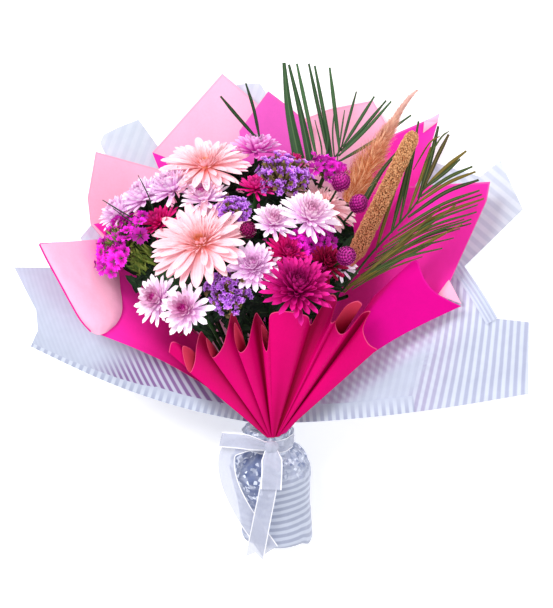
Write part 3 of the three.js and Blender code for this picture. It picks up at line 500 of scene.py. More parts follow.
# The stems' greens are darkened as painted shade under the heads.
STEM = leaf_finish("stem_green", "10280e", "24501e", ribs=4.0)
PALE_IN = paper_finish("paper_pale_side", "f9b0ce", "ee2ca4", "d07ca8", "f2a0bc")
HOT_IN = paper_finish("paper_hot_side", "f82cac", "f9b0ce", "b4004c", "f468b4")
# A lighter copy of the hot side, for the paper at the back middle: painted light.
LIT_HOT_IN = paper_finish("paper_hot_side_lit", "e65cc0", "f9b0ce", "c01c84", "f468b4")
# Darker copies of the hot side and its pale back, for the cone and the fan: painted shade. The fan's salmon
# back paints its pale side in shade, reddened by light reflected in its tubes.
SHADED_FRONT_PAPER = paper_finish("paper_front", "d40088", "f070b0", "980038", "dc1498")
SHADED_FAN_PAPER = paper_finish("paper_fan_front", "d0006a", "cc3454", "78001c", "ec5c88")
# One striped film in all four: its colours a little darker on the wings and darker still on the handle, as
# painted shade. Each shadow colour is painted shade as well; on the wings it is mauve, from the pink paper's
# reflected light.
FILM_WIDE = film_finish("film_wide_stripes", 10.0, "aeb6c6", "c4cad4", "8c82a0")
FILM_WING = film_finish("film_wing_stripes", 7.8, "9ca0ba", "c4cad8", "a882b0", second_pitch=7.0)
FILM_FOLD = film_finish("film_fold_stripes", 7.8, "969cb4", "bcc2d0", "744c84")
FILM_HANDLE = film_finish("film_handle_stripes", 7.6, "8c92a8", "b2b8c8", "46527a", crackled=True)
RIBBON = ribbon_finish()
TWINE = seed_finish("twine_fibres", "6a5a38", "a8966a")

# Wrap sheets

NECK_BACK = 51.6
BACK_REACH = 215.0
BACK_TURN = 27.0
SIDE_TURN = 62.0
SIDE_START = 80.0
SIDE_RISE = 0.16
SIDE_DROOP = 38.0
DROOP_REACH = 260.0
NECK_TURN = 24.0
NECK_FRONT = 96.0
LAYER_STEP = 1.5
LAYER_OPEN = 0.036
STEEPEST = 2.6
FILM_THICK = 0.25
PAPER_THICK = 0.3
NECK_START = 8.5
NECK_LEAN = 9.5


def wrap_back(x, y):
    """The height of the trough that the wrap makes behind the heads."""
    far = np.hypot(x, y)
    turn = np.abs(np.degrees(np.arctan2(x, y)))
    low = NECK_BACK * (1 - smooth(far, 12, BACK_REACH))
    side = SIDE_START + SIDE_RISE * far
    droop = SIDE_DROOP * smooth(turn, SIDE_TURN - 4, SIDE_TURN + 22) * (far / DROOP_REACH)
    wide = NECK_TURN * (1 - smooth(far, 15, 120))
    return low + (side - low) * smooth(turn, BACK_TURN + wide, SIDE_TURN + wide) - droop


def wrap_front(x, y):
    """The height of the collar in front of the heads."""
    turn = np.degrees(np.arctan2(x, y))
    return NECK_FRONT + np.hypot(x, y) * (0.5 - 0.24 * (turn / 57) ** 2)


def above(base, layer, x, y):
    """The height of one layer of the wrap over its base, further off where the wrap opens."""
    slope_x = base(x + 0.5, y) - base(x - 0.5, y)
    slope_y = base(x, y + 0.5) - base(x, y - 0.5)
    stretch = np.minimum(np.sqrt(1 + slope_x ** 2 + slope_y ** 2), STEEPEST)
    return base(x, y) + layer * (LAYER_STEP + LAYER_OPEN * np.maximum(np.hypot(x, y) - 15, 0)) * stretch


def along_edge(edge, pitch):
    """Points along an edge of [x, y, lift], no further apart than the pitch."""
    stops = [edge[0]]
    for a, b in zip(edge, edge[1:]):
        steps = max(1, round(math.hypot(b[0] - a[0], b[1] - a[1]) / pitch))
        stops += [[lerp(p, q, s / steps) for p, q in zip(a, b)] for s in range(1, steps + 1)]
    return np.array(stops, dtype=float)


def sheet_height(x, y, layer=0.0, base=wrap_back, ripple=0.0, phase=0.0, crease=1.2):
    """How high a sheet lies: its layer of the wrap, with its slow waves and fine creases."""
    turn = np.arctan2(x, y)
    reach = np.hypot(x, y)
    wave = ripple * (reach / 300) ** 1.4 * np.sin(9 * turn + phase)
    folds = np.sin(23 * turn + 2 * phase + reach / 60) + 0.6 * np.sin(41 * turn - 3 * phase - reach / 35)
    return above(base, layer, x, y) + wave + crease * folds * smooth(reach, 20, 160) * 0.5


def sheet_grid(edge, start=0.0, pitch=6.0, bow=(0.0, 0.0), tuck=None, **form):
    """A sheet from the neck to its edge, its two sides bowed outwards. The tuck places its foot."""
    stops = along_edge(edge, pitch)
    x, y, lift = stops.T
    turn = np.arctan2(x, y)
    far = np.hypot(x, y)
    share = np.linspace(0, 1, len(stops))
    t = np.linspace(0, 1, 30)[:, None] ** 1.1
    curve = (bow[0] * (1 - share) + bow[1] * share) * np.sin(math.pi * t)
    if tuck is None:
        foot_x = (NECK_RADIUS - 3 + start) * np.sin(turn)
        foot_y = NECK_START + start + NECK_LEAN * np.cos(turn)
    else:
        foot_x, foot_y, foot_z = np.array([tuck(s) for s in share]).T
    px = foot_x + (x - foot_x) * t + curve * (y / far)
    py = foot_y + (y - foot_y) * t - curve * (x / far)
    high = sheet_height(px, py, **form) + lift * t ** 3
    if tuck is not None:
        high = high + (foot_z - high) * (1 - t) ** 5
    return stacked(px, py, high)


def nearest_height(grid, x, y):
    """How high a sheet's grid lies next to each place."""
    flat = grid.reshape(-1, 3)
    far = (x[..., None] - flat[:, 0]) ** 2 + (y[..., None] - flat[:, 1]) ** 2
    near = np.argsort(far, axis=-1)[..., :4]
    weight = 1 / (np.take_along_axis(far, near, -1) + 4.0)
    return (flat[near, 2] * weight).sum(-1) / weight.sum(-1)


def film(places, **form):
    """A sheet of film, its stripes laid out by the places function."""
    piece = Piece()
    grid = sheet_grid(**form)
    grid[..., 2] = np.maximum(grid[..., 2], 0.05)
    across, along, tone, depth = places(grid[..., 0], grid[..., 1])
    two_sided(piece, grid, FILM_THICK, places=stacked(across, along), tone=tone, depth=depth)
    return piece, grid


def hem(piece, edge_line, inward, wide, form):
    """A turned-over hem along an edge, its stripes square to that edge."""
    line = catmull(edge_line, 60)
    run = unit(np.gradient(line, axis=0) * [1, 1, 0])
    side = stacked(-run[:, 1], run[:, 0], 0.0) * inward
    k = np.linspace(0, 1, 6)[:, None, None]
    grid = line + side * (k * wide)
    grid[..., 2] = sheet_height(grid[..., 0], grid[..., 1], **form) + 0.8 - 0.5 * k[..., 0]
    across = np.broadcast_to(lengths(line), grid.shape[:2])
    two_sided(piece, grid, 0.2, places=stacked(across, across), tone=0.95 * (1 - k[..., 0]), depth=0.0)


def strap_of_film(piece, sheet):
    """A folded edge of film that hangs down at the right, banded along its length."""
    line = catmull([(180, 178, 0), (197, 149, 0), (218, 113, 0)], 24)
    k = np.linspace(0, 1, 17)[None, :, None]
    grid = line[:, None] + unit(vec(0.84, 0.54, 0)) * (k * 12.5 - 2.5)
    fold = 2 + 0.8 * np.sin(4 * math.pi * k[..., 0])
    grid[..., 2] = nearest_height(sheet, grid[..., 0], grid[..., 1]) + fold
    across = np.broadcast_to(k[..., 0] * 25, grid.shape[:2])
    two_sided(piece, grid, FILM_THICK, places=stacked(across, across), tone=0.4, depth=0.0)


def back_stripes(x, y):
    """The back film's stripes, which run another way at its far right."""
    right = x > 150
    across = np.where(right, x * 0.72 + y * 0.7, x * 0.94 - y * 0.35)
    return across, y, np.where(right, 0.6, 0.25), 0.0


def left_stripes(x, y):
    """The left wing's stripes, stronger towards its lower edge, with painted mauve shade between them there,
    beside the pink paper.
    """
    near = smooth(x * 0.5 - y * 0.87, -158, -122)
    across = (x * 0.9 + y * 0.44) * 1.4 - 0.003 * (x + 120) ** 2
    return across, y, 0.1 + 0.7 * near, near * 0.95


def right_stripes(x, y):
    """The right wing's stripes: strong past the fold line with painted mauve shade beside it, and before it a
    lattice that carries painted mauve shade too.
    """
    (ax, ay), (bx, by) = FOLD_LINE
    past = x - (bx + (ax - bx) * (y - by) / (ay - by))
    outer = smooth(past, -3, 3)
    slant = np.clip(0.19 * (1 - (x - 165) / 85), 0, 0.19)
    below = (x - 33) * 0.595 - (y - 6) * 0.803
    # The lattice's depth paints mauve shade in its gaps, as the mauve does past the fold line: shade and the
    # pink papers' reflected light.
    lattice = (1 - outer) * (0.02 + 0.62 * (1 - smooth(below, -2, 13)))
    mauve = outer * 0.28 * (1 - smooth(past, 8, 44))
    return (x - (y - 60) * slant, x * 0.62 + y * 0.78, 0.12 + 0.6 * outer + 0.3 * lattice,
            lattice + mauve)


# The outer edges of the film: across, up and lift.
FILM_BACK = [[-176, 192, 0], [-192, 199, 0], [-176, 222, 0], [-169, 286, 0], [-176, 300, 3],
             [-172, 309, 6], [-156, 317, 5], [-136, 325, 3], [-113, 293, 0], [-33, 345, 0], [-33, 362, 1],
             [-9, 363, 3], [-3, 353, 4], [-8, 338, 0], [120, 300, 0], [218, 263, 0], [238, 279, 4],
             [256, 227, 0], [195, 167, 0]]
FILM_LEFT = [[-235, 90, 0], [-227, 106, 3], [-228, 126, 4], [-249, 168, 6], [-215, 168, 0], [-170, 196, 0]]
FILM_RIGHT = [[190, 172, 0], [222, 118, 0], [258, 114, 0], [261, 42, 0]]
# Two points on the line where the right film is folded.
FOLD_LINE = (172.0, 117.0), (137.0, 18.0)
LEFT_FORM = dict(layer=1.0, ripple=2.0)
RIGHT_FORM = dict(layer=0.9, ripple=2.0)

back_piece, _ = film(back_stripes, edge=FILM_BACK, pitch=9.0, start=-1.5, crease=0.5)
back_piece.make("film_back_sheet", [FILM_WIDE], "film_back", "film")

left_piece, left_grid = film(left_stripes, edge=FILM_LEFT, bow=(-9.0, 0.0), **LEFT_FORM)
hem(left_piece, left_grid[1:, 0], -1, 13, LEFT_FORM)
left_piece.make("film_left_sheet", [FILM_FOLD], "film_left", "film")

right_piece, right_grid = film(right_stripes, edge=FILM_RIGHT, start=1.5, bow=(0.0, 4.0), **RIGHT_FORM)
strap_of_film(right_piece, right_grid)
hem(right_piece, right_grid[1:17, -1], 1, 17, RIGHT_FORM)
right_piece.make("film_right_sheet", [FILM_WING], "film_right", "film")

# Each paper's look, its layer in the wrap and its edge.
PAPERS = {
    "paper_back_left": (PALE_IN, 1.0, [[-121, 290, 0], [-48, 372, 0], [-4, 334, 0]]),
    "paper_back_middle": (LIT_HOT_IN, 2.0, [[-30, 311, 0], [0, 352, 0], [24, 334, 0], [42, 318, 0]]),
    "paper_back_right": (PALE_IN, 1.0, [[20, 318, 0], [64, 335, 0], [109, 344, 0], [124, 318, 0]]),
    "paper_top_right": (HOT_IN, 2.0, [[112, 300, 0], [177, 328, 0], [175, 319, 0], [160, 268, 0]]),
    "paper_right": (HOT_IN, 3.0, [[140, 253, 0], [222, 254, 0], [218, 235, 0], [175, 143, 0]]),
    "paper_left_upper": (PALE_IN, 2.0, [[-170, 203, 0], [-180, 213, 0], [-184, 240, 0], [-178, 289, 0],
                                        [-110, 271, 0]]),
    "paper_left_lower": (HOT_IN, 3.2, [[-164, 102, 12], [-183, 122, 12], [-222, 191, 18], [-178, 195, 8],
                                       [-140, 200, 4]]),
}
# Corners that turn over and show the other side: three points on the sheet each.
TURNED = {
    "paper_back_left": [[(-121, 290), (-100, 282), (-113, 270)]],
    "paper_left_upper": [[(-177, 213), (-148, 220), (-160, 196)]],
    "paper_right": [[(179, 156), (191, 132), (168, 141)]],
    "paper_top_right": [[(161, 320), (177, 329), (175, 320)], [(175, 320), (161, 321), (160, 309)]],
}
# The two edges of the left paper's flap.
FLAP_OUTER = [(-221, 190, 0), (-211, 170, 0), (-196, 143, 0), (-184, 120, 0), (-172, 105, 0)]
FLAP_INNER = [(-165, 197, 0), (-152, 173, 0), (-147, 148, 0), (-144, 127, 0), (-148, 114, 0),
              (-157, 105, 0)]


def flap(piece, sheet):
    """The left paper's turned edge: a pale face that curls down on its right, with a rolled outer rim."""
    outer, inner = catmull(FLAP_OUTER, 26), catmull(FLAP_INNER, 26)
    u = np.linspace(0, 1, 18)
    s = np.linspace(0, 1, 26)[:, None]
    grid = outer[:, None] * (1 - u[:, None]) + inner[:, None] * u[:, None]
    grid[..., 1] -= 3 * smooth(s, 0.8, 1.0) * np.sin(math.pi * u)
    curl = 1.5 + 6.5 * np.sqrt(np.clip(np.sin(math.pi * np.clip(u, 0.02, 0.99)), 0, 1))
    curl = curl * (1 - smooth(s, 0.85, 1.0) * 0.5)
    grid[..., 2] = nearest_height(sheet, grid[..., 0], grid[..., 1]) + curl
    # Painted shade on the face's right, where it curls down, and on the rolled rim below.
    two_sided(piece, grid, PAPER_THICK, tone=0.5 * smooth(u, 0.8, 1.0), paint=1)
    tube(piece, (grid[:, 0] + vec(-0.6, 0, 0.4))[::5], 1.7, sides=8, count=30, tone=0.35)


def turned_corner(piece, sheet, corner):
    """A corner that turns over: a triangle on the sheet, a little raised, in the colour of its other side."""
    a, b, c = [vec(*p, 0) for p in corner]
    u = np.linspace(0, 1, 8)
    s = u[:, None]
    grid = a + (b - a) * s[..., None] + (c - b) * (s * u)[..., None]
    grid[..., 2] = nearest_height(sheet, grid[..., 0], grid[..., 1]) + 1.0 + 1.6 * np.sin(math.pi * u) * s
    two_sided(piece, grid, PAPER_THICK, paint=1, places=stacked(u * 0.9, s * 0.9))


def paper_shade(name, x, y):
    """Where a paper lies in the shade of the heads and of its neighbours."""
    if name == "paper_left_lower":
        return 0.75 * smooth(y - 0.2 * x, 205, 150) * smooth(x, -170, -80)
    if name == "paper_right":
        return 0.55 * (1 - smooth(x - 0.2 * y, 50, 115))
    return 0.35 * (1 - smooth(np.hypot(x, y), 200, 290))


def papers():
    """The papers behind and beside the heads."""
    for paper, (look, layer, edge) in PAPERS.items():
        piece = Piece()
        bowed = (9.0, 0.0) if paper == "paper_left_lower" else (0.0, 0.0)
        grid = sheet_grid(edge, bow=bowed, ripple=2.2, phase=layer, layer=layer)
        two_sided(piece, grid, PAPER_THICK, tone=paper_shade(paper, grid[..., 0], grid[..., 1]))
        if paper == "paper_left_lower":
            flap(piece, grid)
        for corner in TURNED.get(paper, []):
            turned_corner(piece, grid, corner)
        other = HOT_IN if look is PALE_IN else PALE_IN
        piece.make(paper + "_sheet", [look, other], paper, "paper")


NECK_REACH = 8.0
FRONT_RIGHT = [[104, 140, -5], [118, 153, -5], [131, 165, -4], [144, 175, -4], [149, 165, -3],
               [155, 153, -2], [165, 143, -1], [177, 136, 0], [190, 130, 0]]
# The fan's rim from left to right: across, up, and how far towards the viewer.
FAN_RIM = [
    [-97, 85, 3], [-94, 95, 1], [-86, 92, -4], [-79, 85, -7], [-73, 86, -4], [-83, 91, 1], [-82, 77, 6],
    [-77, 65, 8], [-72, 75, 4], [-70, 92, -3], [-66, 105, -8], [-61, 100, -8], [-53, 91, -5],
    [-60, 99, 1], [-58, 88, 6], [-53, 80, 9], [-44, 91, 5], [-39, 109, -2], [-35, 125, -8],
    [-30, 117, -8], [-24, 100, -4], [-32, 114, 1], [-32, 97, 6], [-27, 85, 9], [-20, 92, 5],
    [-16, 109, -2], [-12, 123, -8], [-8, 120, -8], [0, 105, -4], [-6, 112, 1], [-5, 97, 5],
    [-1, 86, 8], [1, 102, 8], [2, 121, 8], [11, 125, 10], [21, 125, 10], [31, 123, 8], [39, 120, 4],
    [42, 112, -5], [51, 127, -6], [61, 141, -4], [67, 137, -2], [64, 124, 4], [62, 114, 8],
    [75, 123, -6], [91, 130, -5], [87, 135, -2], [77, 131, 0], [70, 122, 2], [66, 114, 4],
    [68, 106, 7], [72, 103, 9], [78, 107, 7], [87, 118, 3], [93, 124, -4], [100, 125, -6],
    [96, 117, 0], [93, 106, 5], [98, 94, 8], [107, 88, 7],
]


def on_neck(x, radius, along):
    """A point on the front of the leaning neck."""
    high = math.sqrt(max(radius ** 2 - x ** 2, 0))
    return TIE + vec(x, 0, 0) + vec(0, -TILT_SIN, TILT_COS) * high + AXIS * along


def front_right():
    """The smooth cone at the front right, with a shaded fold along its inner side."""
    piece = Piece()
    grid = sheet_grid(
        catmull(FRONT_RIGHT, 25).tolist(), bow=(0.0, -14.0), crease=0.4,
        base=lambda x, y: wrap_front(x, y) - 3.7 - 0.08 * np.hypot(x, y),
        tuck=lambda share: on_neck(13 + 5 * share, NECK_RADIUS - 1.9, NECK_REACH + 0.9))
    share = np.linspace(0, 1, grid.shape[1])
    t = np.linspace(0, 1, grid.shape[0])[:, None]
    shade = 0.75 * (1 - smooth(share, 0.0, 0.5)) + 0.25 * (1 - smooth(t, 0.3, 0.8))
    two_sided(piece, grid, PAPER_THICK, tone=np.clip(shade, 0, 1))
    piece.make("paper_front_right_sheet", [SHADED_FRONT_PAPER], "paper_front_right", "front_paper")


def fan():
    """The pleated fan in front: tubes and folds that open from the neck to a curling rim, with painted shade.
    """
    piece = Piece()
    x, y, fold = catmull(FAN_RIM, (len(FAN_RIM) - 1) * 5 + 1).T
    starts = np.array([on_neck(4.5 + px * 0.06, NECK_RADIUS - 0.4 + f * 0.05, NECK_REACH + 0.35)
                       for px, f in zip(x, fold)])
    ends = stacked(x, y, wrap_front(x, y) + 4 + fold)
    high = np.linspace(0, 1, 30)[:, None]
    grid = starts + (ends - starts) * high[..., None]
    # Painted shade: deep in the folds, towards the neck, low in the middle, and on the faces that turn right,
    # away from the light.
    deep = 0.75 * smooth(-fold, 0, 7) + 0.2 * smooth(-fold, -9, 0)
    shade = deep * (1.0 - 0.15 * high) + 0.3 * (1 - smooth(high, 0.05, 0.5))
    middle = np.exp(-((x - 20) / 12.0) ** 2) * 0.3 * (1 - smooth(high, 0.2, 0.95))
    slope = np.gradient(fold) / np.maximum(np.hypot(np.gradient(x), np.gradient(y)), 0.3)
    shade = shade + 0.34 * smooth(-slope, 0.1, 1.2) * (1 - 0.35 * high)
    # Painted shade inside the tubes, on their back faces, except near the rim.
    inside = 0.2 + 0.75 * (1 - smooth(high, 0.82, 1.0))
    two_sided(piece, grid, 0.4, tone=np.clip(shade + middle, 0, 0.95), back_tone=inside)
    piece.make("paper_fan_pleats", [SHADED_FAN_PAPER], "paper_fan", "front_paper")


papers()
front_right()
fan()

# The handle, its ribbon and the twine

# The handle's outline: how far from its lower end, and its radius there.
HANDLE_PROFILE = [(0, 35.5), (2.5, 38), (10, 38), (40, 38.5), (74, 43), (91, 37), (101, 25), (120, 25)]
HANDLE_LEAN = 9.5
LEAN_START = 9.0


def leant(x, along, out):
    """Points given square to the handle, leant with it and raised to the tie."""
    return stacked(x, along * TILT_COS - out * TILT_SIN, along * TILT_SIN + out * TILT_COS + TIE_HEIGHT)


def close_end(piece, ring, places):
    """The film drawn together over the handle's lower end."""
    middle = ring.mean(axis=0)
    closing = np.stack([ring + (middle - ring) * k for k in (0, 0.35, 0.7, 0.98)])
    piece.grid(closing, places=np.repeat(places, 4, axis=0), closed=True)


def gather_mouth(piece, ring, places, turn):
    """The gathered film inside the handle's upper end, with painted shade and painted glints."""
    top = ring.mean(axis=0)
    gathers = 1 + 0.06 * np.sin(17 * turn)[:, None]
    mouth = [top + (ring - top) * 0.99]
    for k, rise in ((0.9, 1.6), (0.75, 1.2), (0.5, -1.0), (0.2, -4.0)):
        mouth.append(top + (ring - top) * k * gathers + AXIS * rise)
    piece.grid(np.stack(mouth), tone=0.3, depth=0.25, places=np.repeat(places, 5, axis=0), closed=True)


def handle():
    """The film gathered round the stems: stripes, gathers at the tie and crumpled facets below it, with
    painted shade.
    """
    piece = Piece()
    along = np.concatenate([np.linspace(0, 10, 8), np.linspace(11, 120, 110)])
    radius = np.interp(along, *zip(*HANDLE_PROFILE))
    for _ in range(3):
        radius[1:-1] = (radius[:-2] + 2 * radius[1:-1] + radius[2:]) / 4
    turn = turns(216)
    s, a = np.meshgrid(along, turn, indexing="ij")
    cos, sin = np.cos(a), np.sin(a)
    gather = smooth(s, 62, 92) * (1 - smooth(s, 112, 120))
    pleats = np.sin(21 * a + 0.8 * np.sin(s / 9)) + 0.7 * np.sin(34 * a - s / 7)
    facets = (np.abs(np.sin(6.3 * a + s / 6.5)) + np.abs(np.sin(9.1 * a - s / 4.6))
              + np.abs(np.sin(3.7 * a + s / 3.9 + 1.0))) / 3 - 0.6
    soft = 0.5 * np.sin(5 * a + s / 22) * smooth(s, 4, 30)
    r = radius[:, None] - 1.7 + pleats * (0.1 + 0.6 * gather) * 0.6 + soft + facets * (0.5 + 4.5 * gather)
    corner = (5.0 + 2.0 * sin) * smooth(np.abs(sin), 0.7, 1.0) * (1 - smooth(s, 0, 34))
    lean = HANDLE_LEAN * np.maximum(HANDLE_LENGTH - s - LEAN_START, 0) / (HANDLE_LENGTH - LEAN_START)
    points = leant(r * sin + lean, s - HANDLE_LENGTH - corner, r * cos)
    sunk = points[..., 2] - 0.6 * (1 - smooth(points[..., 1], -HANDLE_LENGTH + 12, -20))
    points[..., 2] = np.maximum(sunk, 0.1)
    across = s - 0.1 * r * sin - 1.5 * cos + 3.0 * smooth(s, 60, 100) * np.sin(3 * a)
    # Painted shade, in the film's shadow colour: down the left side, in a patch below the gathers, and deeper
    # in the crumpled facets.
    dark = smooth(s, 22, 60) * (1 - smooth(s, 100, 110)) * np.exp(-((sin + 0.42) / 0.36) ** 2)
    dark = dark * (cos > -0.3) + 0.35 * smooth(-sin, 0.7, 1.0)
    dark = np.clip(dark * (1.45 + 2.6 * facets), 0, 1.3) + 1.1 * np.clip(facets, 0, 0.4) * gather
    places = stacked(across, a / FULL_TURN)
    strength = (0.8 - 0.55 * smooth(s, 66, 95)) * (1 - 0.85 * np.minimum(dark, 1))
    piece.grid(points, tone=strength, depth=dark, places=places, closed=True)
    close_end(piece, points[0], places[:1])
    gather_mouth(piece, points[-1], places[-1:], turn)
    piece.make("film_handle_wrap", [FILM_HANDLE], "film_handle", "film")


def ribbon_strip(piece, points, width, count, narrow, ruffle=0.6, notch=0.0, across=None):
    """A strip of ribbon along a line, level or across a given direction, narrowed towards the knot."""
    line = catmull(points, count)
    run = headings(line)
    side = unit(np.cross(run, UP)) if across is None else np.tile(unit(vec(*across)), (count, 1))
    u = np.linspace(-1, 1, 13)
    gone = lengths(line)
    t = (gone / gone[-1])[:, None]
    share = np.interp(t, *zip(*narrow))
    wave = ruffle * np.sin(t * 17 + u * 2.5) * smooth(t, 0.05, 0.3)
    pinch = (1 - share) * 1.6 * np.cos(u * 9)
    grid = line[:, None] + side[:, None] * (width / 2 * share * u)[..., None]
    grid = grid + np.cross(side, run)[:, None] * (wave + pinch)[..., None]
    grid = grid - run[:, None] * (notch * (1 - np.abs(u)) * smooth(t, 0.8, 1.0))[..., None]
    piece.grid(grid, places=stacked((u + 1) / 2, gone[:, None]))
    return float(gone[-1])


def bow():
    """The bow: a knot, an ear, a strap looped down the handle, and two tails."""
    piece = Piece()
    knot = vec(3, -11, TIE_HEIGHT + NECK_RADIUS + 5.5)
    total = ribbon_strip(piece, [knot, [1, -46, 106], [-6, -84, 92], [-14, -126, 72]], 19, 40,
                         narrow=[(0, 0.4), (0.28, 0.92), (1, 1)], notch=7.0)
    total += ribbon_strip(piece, [knot + vec(0, 0, 1.2), [4, -30, 109.5], [3, -53, 107.5]], 21, 24,
                          narrow=[(0, 0.5), (0.3, 1), (1, 1)])
    total += ribbon_strip(piece, [knot, [-22, -8, 108], [-40, -16, 105], [-40, -42, 99.5], [-26, -75, 92],
                                  [2, -118, 74]], 19, 60, narrow=[(0, 0.4), (0.2, 0.9), (1, 1)])
    total += ribbon_strip(piece, [knot, [-22, -5, 113.5], [-43, -3, 112], [-47, -3, 109.5], [-41, -3, 107],
                                  [-24, -4, 106], knot - vec(4, 0, 0)], 15.2, 48, ruffle=0.3,
                          narrow=[(0, 0.45), (0.25, 1), (0.72, 1), (1, 0.45)], across=(0.15, 1, 0))
    a, b = np.meshgrid(turns(32), np.linspace(-math.pi / 2, math.pi / 2, 14))
    swell = (1 + 0.1 * np.sin(5 * a + 2 * b) + 0.06 * np.sin(9 * a - b)) * np.cos(b)
    ball = stacked(7.6 * np.cos(a) * swell, 6.8 * np.sin(b), 4.6 * np.sin(a) * swell)
    piece.grid(ball + knot, places=stacked(b / math.pi + 0.5, a * 7), closed=True)
    made = piece.make("ribbon_bow_loops", [RIBBON], "ribbon_bow", "ribbon")


def band():
    """The ribbon's turn round the neck."""
    piece = Piece()
    s, a = np.meshgrid(np.linspace(-9.8, 4.8, 9), turns(96), indexing="ij")
    r = NECK_RADIUS + 1.1 + 0.35 * np.sin(6 * a + s) + 0.25 * np.sin(13 * a - s / 2)
    piece.grid(leant(r * np.sin(a), s, r * np.cos(a)), places=stacked((s + 9.8) / 14.6, a * NECK_RADIUS),
               closed=True)
    made = piece.make("ribbon_band_wrap", [RIBBON], "ribbon_band", "ribbon")


handle()
bow()
band()
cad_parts["binding_twine"].data.materials.clear()
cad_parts["binding_twine"].data.materials.append(TWINE)

# Petals and heads

DOME_CENTRE = vec(-15, 90, 30)
HEAD_DEPTH = 7
MILLET_RADIUS = 8.9
PLUME_REACH = 22.0
# Where each stem ends, and whether it is a slim one.
STALKS = []


class Head:
    """A flower head's own place: across its face, and the way that it faces."""

    def __init__(self, at, facing=None):
        self.at = vec(*at)
        self.facing = unit(self.at - DOME_CENTRE if facing is None else np.array(facing, dtype=float))
        self.base = self.at - HEAD_DEPTH * self.facing
        self.axes = np.array(Vector(UP).rotation_difference(Vector(self.facing)).to_matrix())

    def put(self, points):
        """Points given across the face and out of it, placed in the bouquet."""
        return points @ self.axes.T + self.base


def begin(at, facing=None, slim=False):
    """A head, whose stalk is noted for the stems, and an empty piece to build it in."""
    STALKS.append((at, slim))
    return Head(at, facing), Piece()


def round_petal(t, base=0.4, widest=0.68, point=1.0):
    """How wide a petal is along its length: from its root to a rounded or pointed tip."""
    grow = base + (1 - base) * smooth(t, 0, widest)
    end = np.clip(1 - np.clip((t - widest) / (1 - widest), 0, 1) ** (2 * point), 0, 1) ** 0.5
    return np.maximum(grow * end, 0.04)


def petal(piece, head, turn, lift, start, long, wide, high, curl, tone, depth=0.0, cup=0.3, rows=7,
          columns=5, paint=0, shape=(), twist=0.0, sway=0.0):
    """A petal that starts out from the head's middle, climbs at the lift and curls on its way."""
    t = 1 - (1 - np.linspace(0, 1, rows)) ** 1.25
    out, side = polar(turn), polar(turn + math.pi / 2)
    climb = (lift + curl * t)[:, None]
    step = (np.diff(t, prepend=0) * long)[:, None]
    run = start + np.cumsum(np.cos(climb) * step, axis=0)
    rise = high + np.cumsum(np.sin(climb) * step, axis=0)
    line = out * run + UP * rise + side * (sway * t ** 2)[:, None]
    normal = UP * np.cos(climb) - out * np.sin(climb)
    u = np.linspace(-1, 1, columns)
    half = (wide / 2 * round_petal(t, *shape))[:, None]
    grid = (line[:, None] + around(twist, side, UP) * (half * u)[..., None]
            + normal[:, None] * (cup * half * (u ** 2 - 0.3))[..., None])
    piece.grid(head.put(grid), tone=tone, depth=depth, paint=paint)


def mum(name, at, radius, look, slot, facing=None, petals=112, close_angle=76.0, wide=0.21, eye=1.0):
    """A spray chrysanthemum: petals on a spiral, from the flat outer ones to the upright eye."""
    head, piece = begin(at, facing)
    for k in range(petals):
        s = k / (petals - 1)
        lift = math.radians(lerp(-6.0, close_angle, s ** 0.85)) + jitter(0.12)
        long = radius * lerp(0.98, 0.34, s ** 0.9) * (1 + jitter(0.09))
        petal(piece, head, k * GOLDEN_TURN + jitter(0.08), lift, radius * 0.1 * (1 - s), long,
              radius * lerp(wide, 0.11, s), lerp(2.2, 6.0, s), math.radians(lerp(10, 48, s)),
              cup=lerp(0.6, 0.9, s), tone=rng.random(), depth=s * eye, sway=jitter(0.07) * radius,
              twist=jitter(0.25), shape=(0.5, 0.72, 1.4))
    piece.make(name + "_petals", [look], name, slot)


# The rings of rays from the outside in: how many, their lift, length, height and width.
GERBERA_RINGS = [(20, 0.0, 1.0, 2.4, 0.2), (19, 0.1, 0.97, 3.4, 0.19), (13, 0.26, 0.8, 4.6, 0.15)]
RUFF_RAYS = 150
DISC_FLORETS = 150


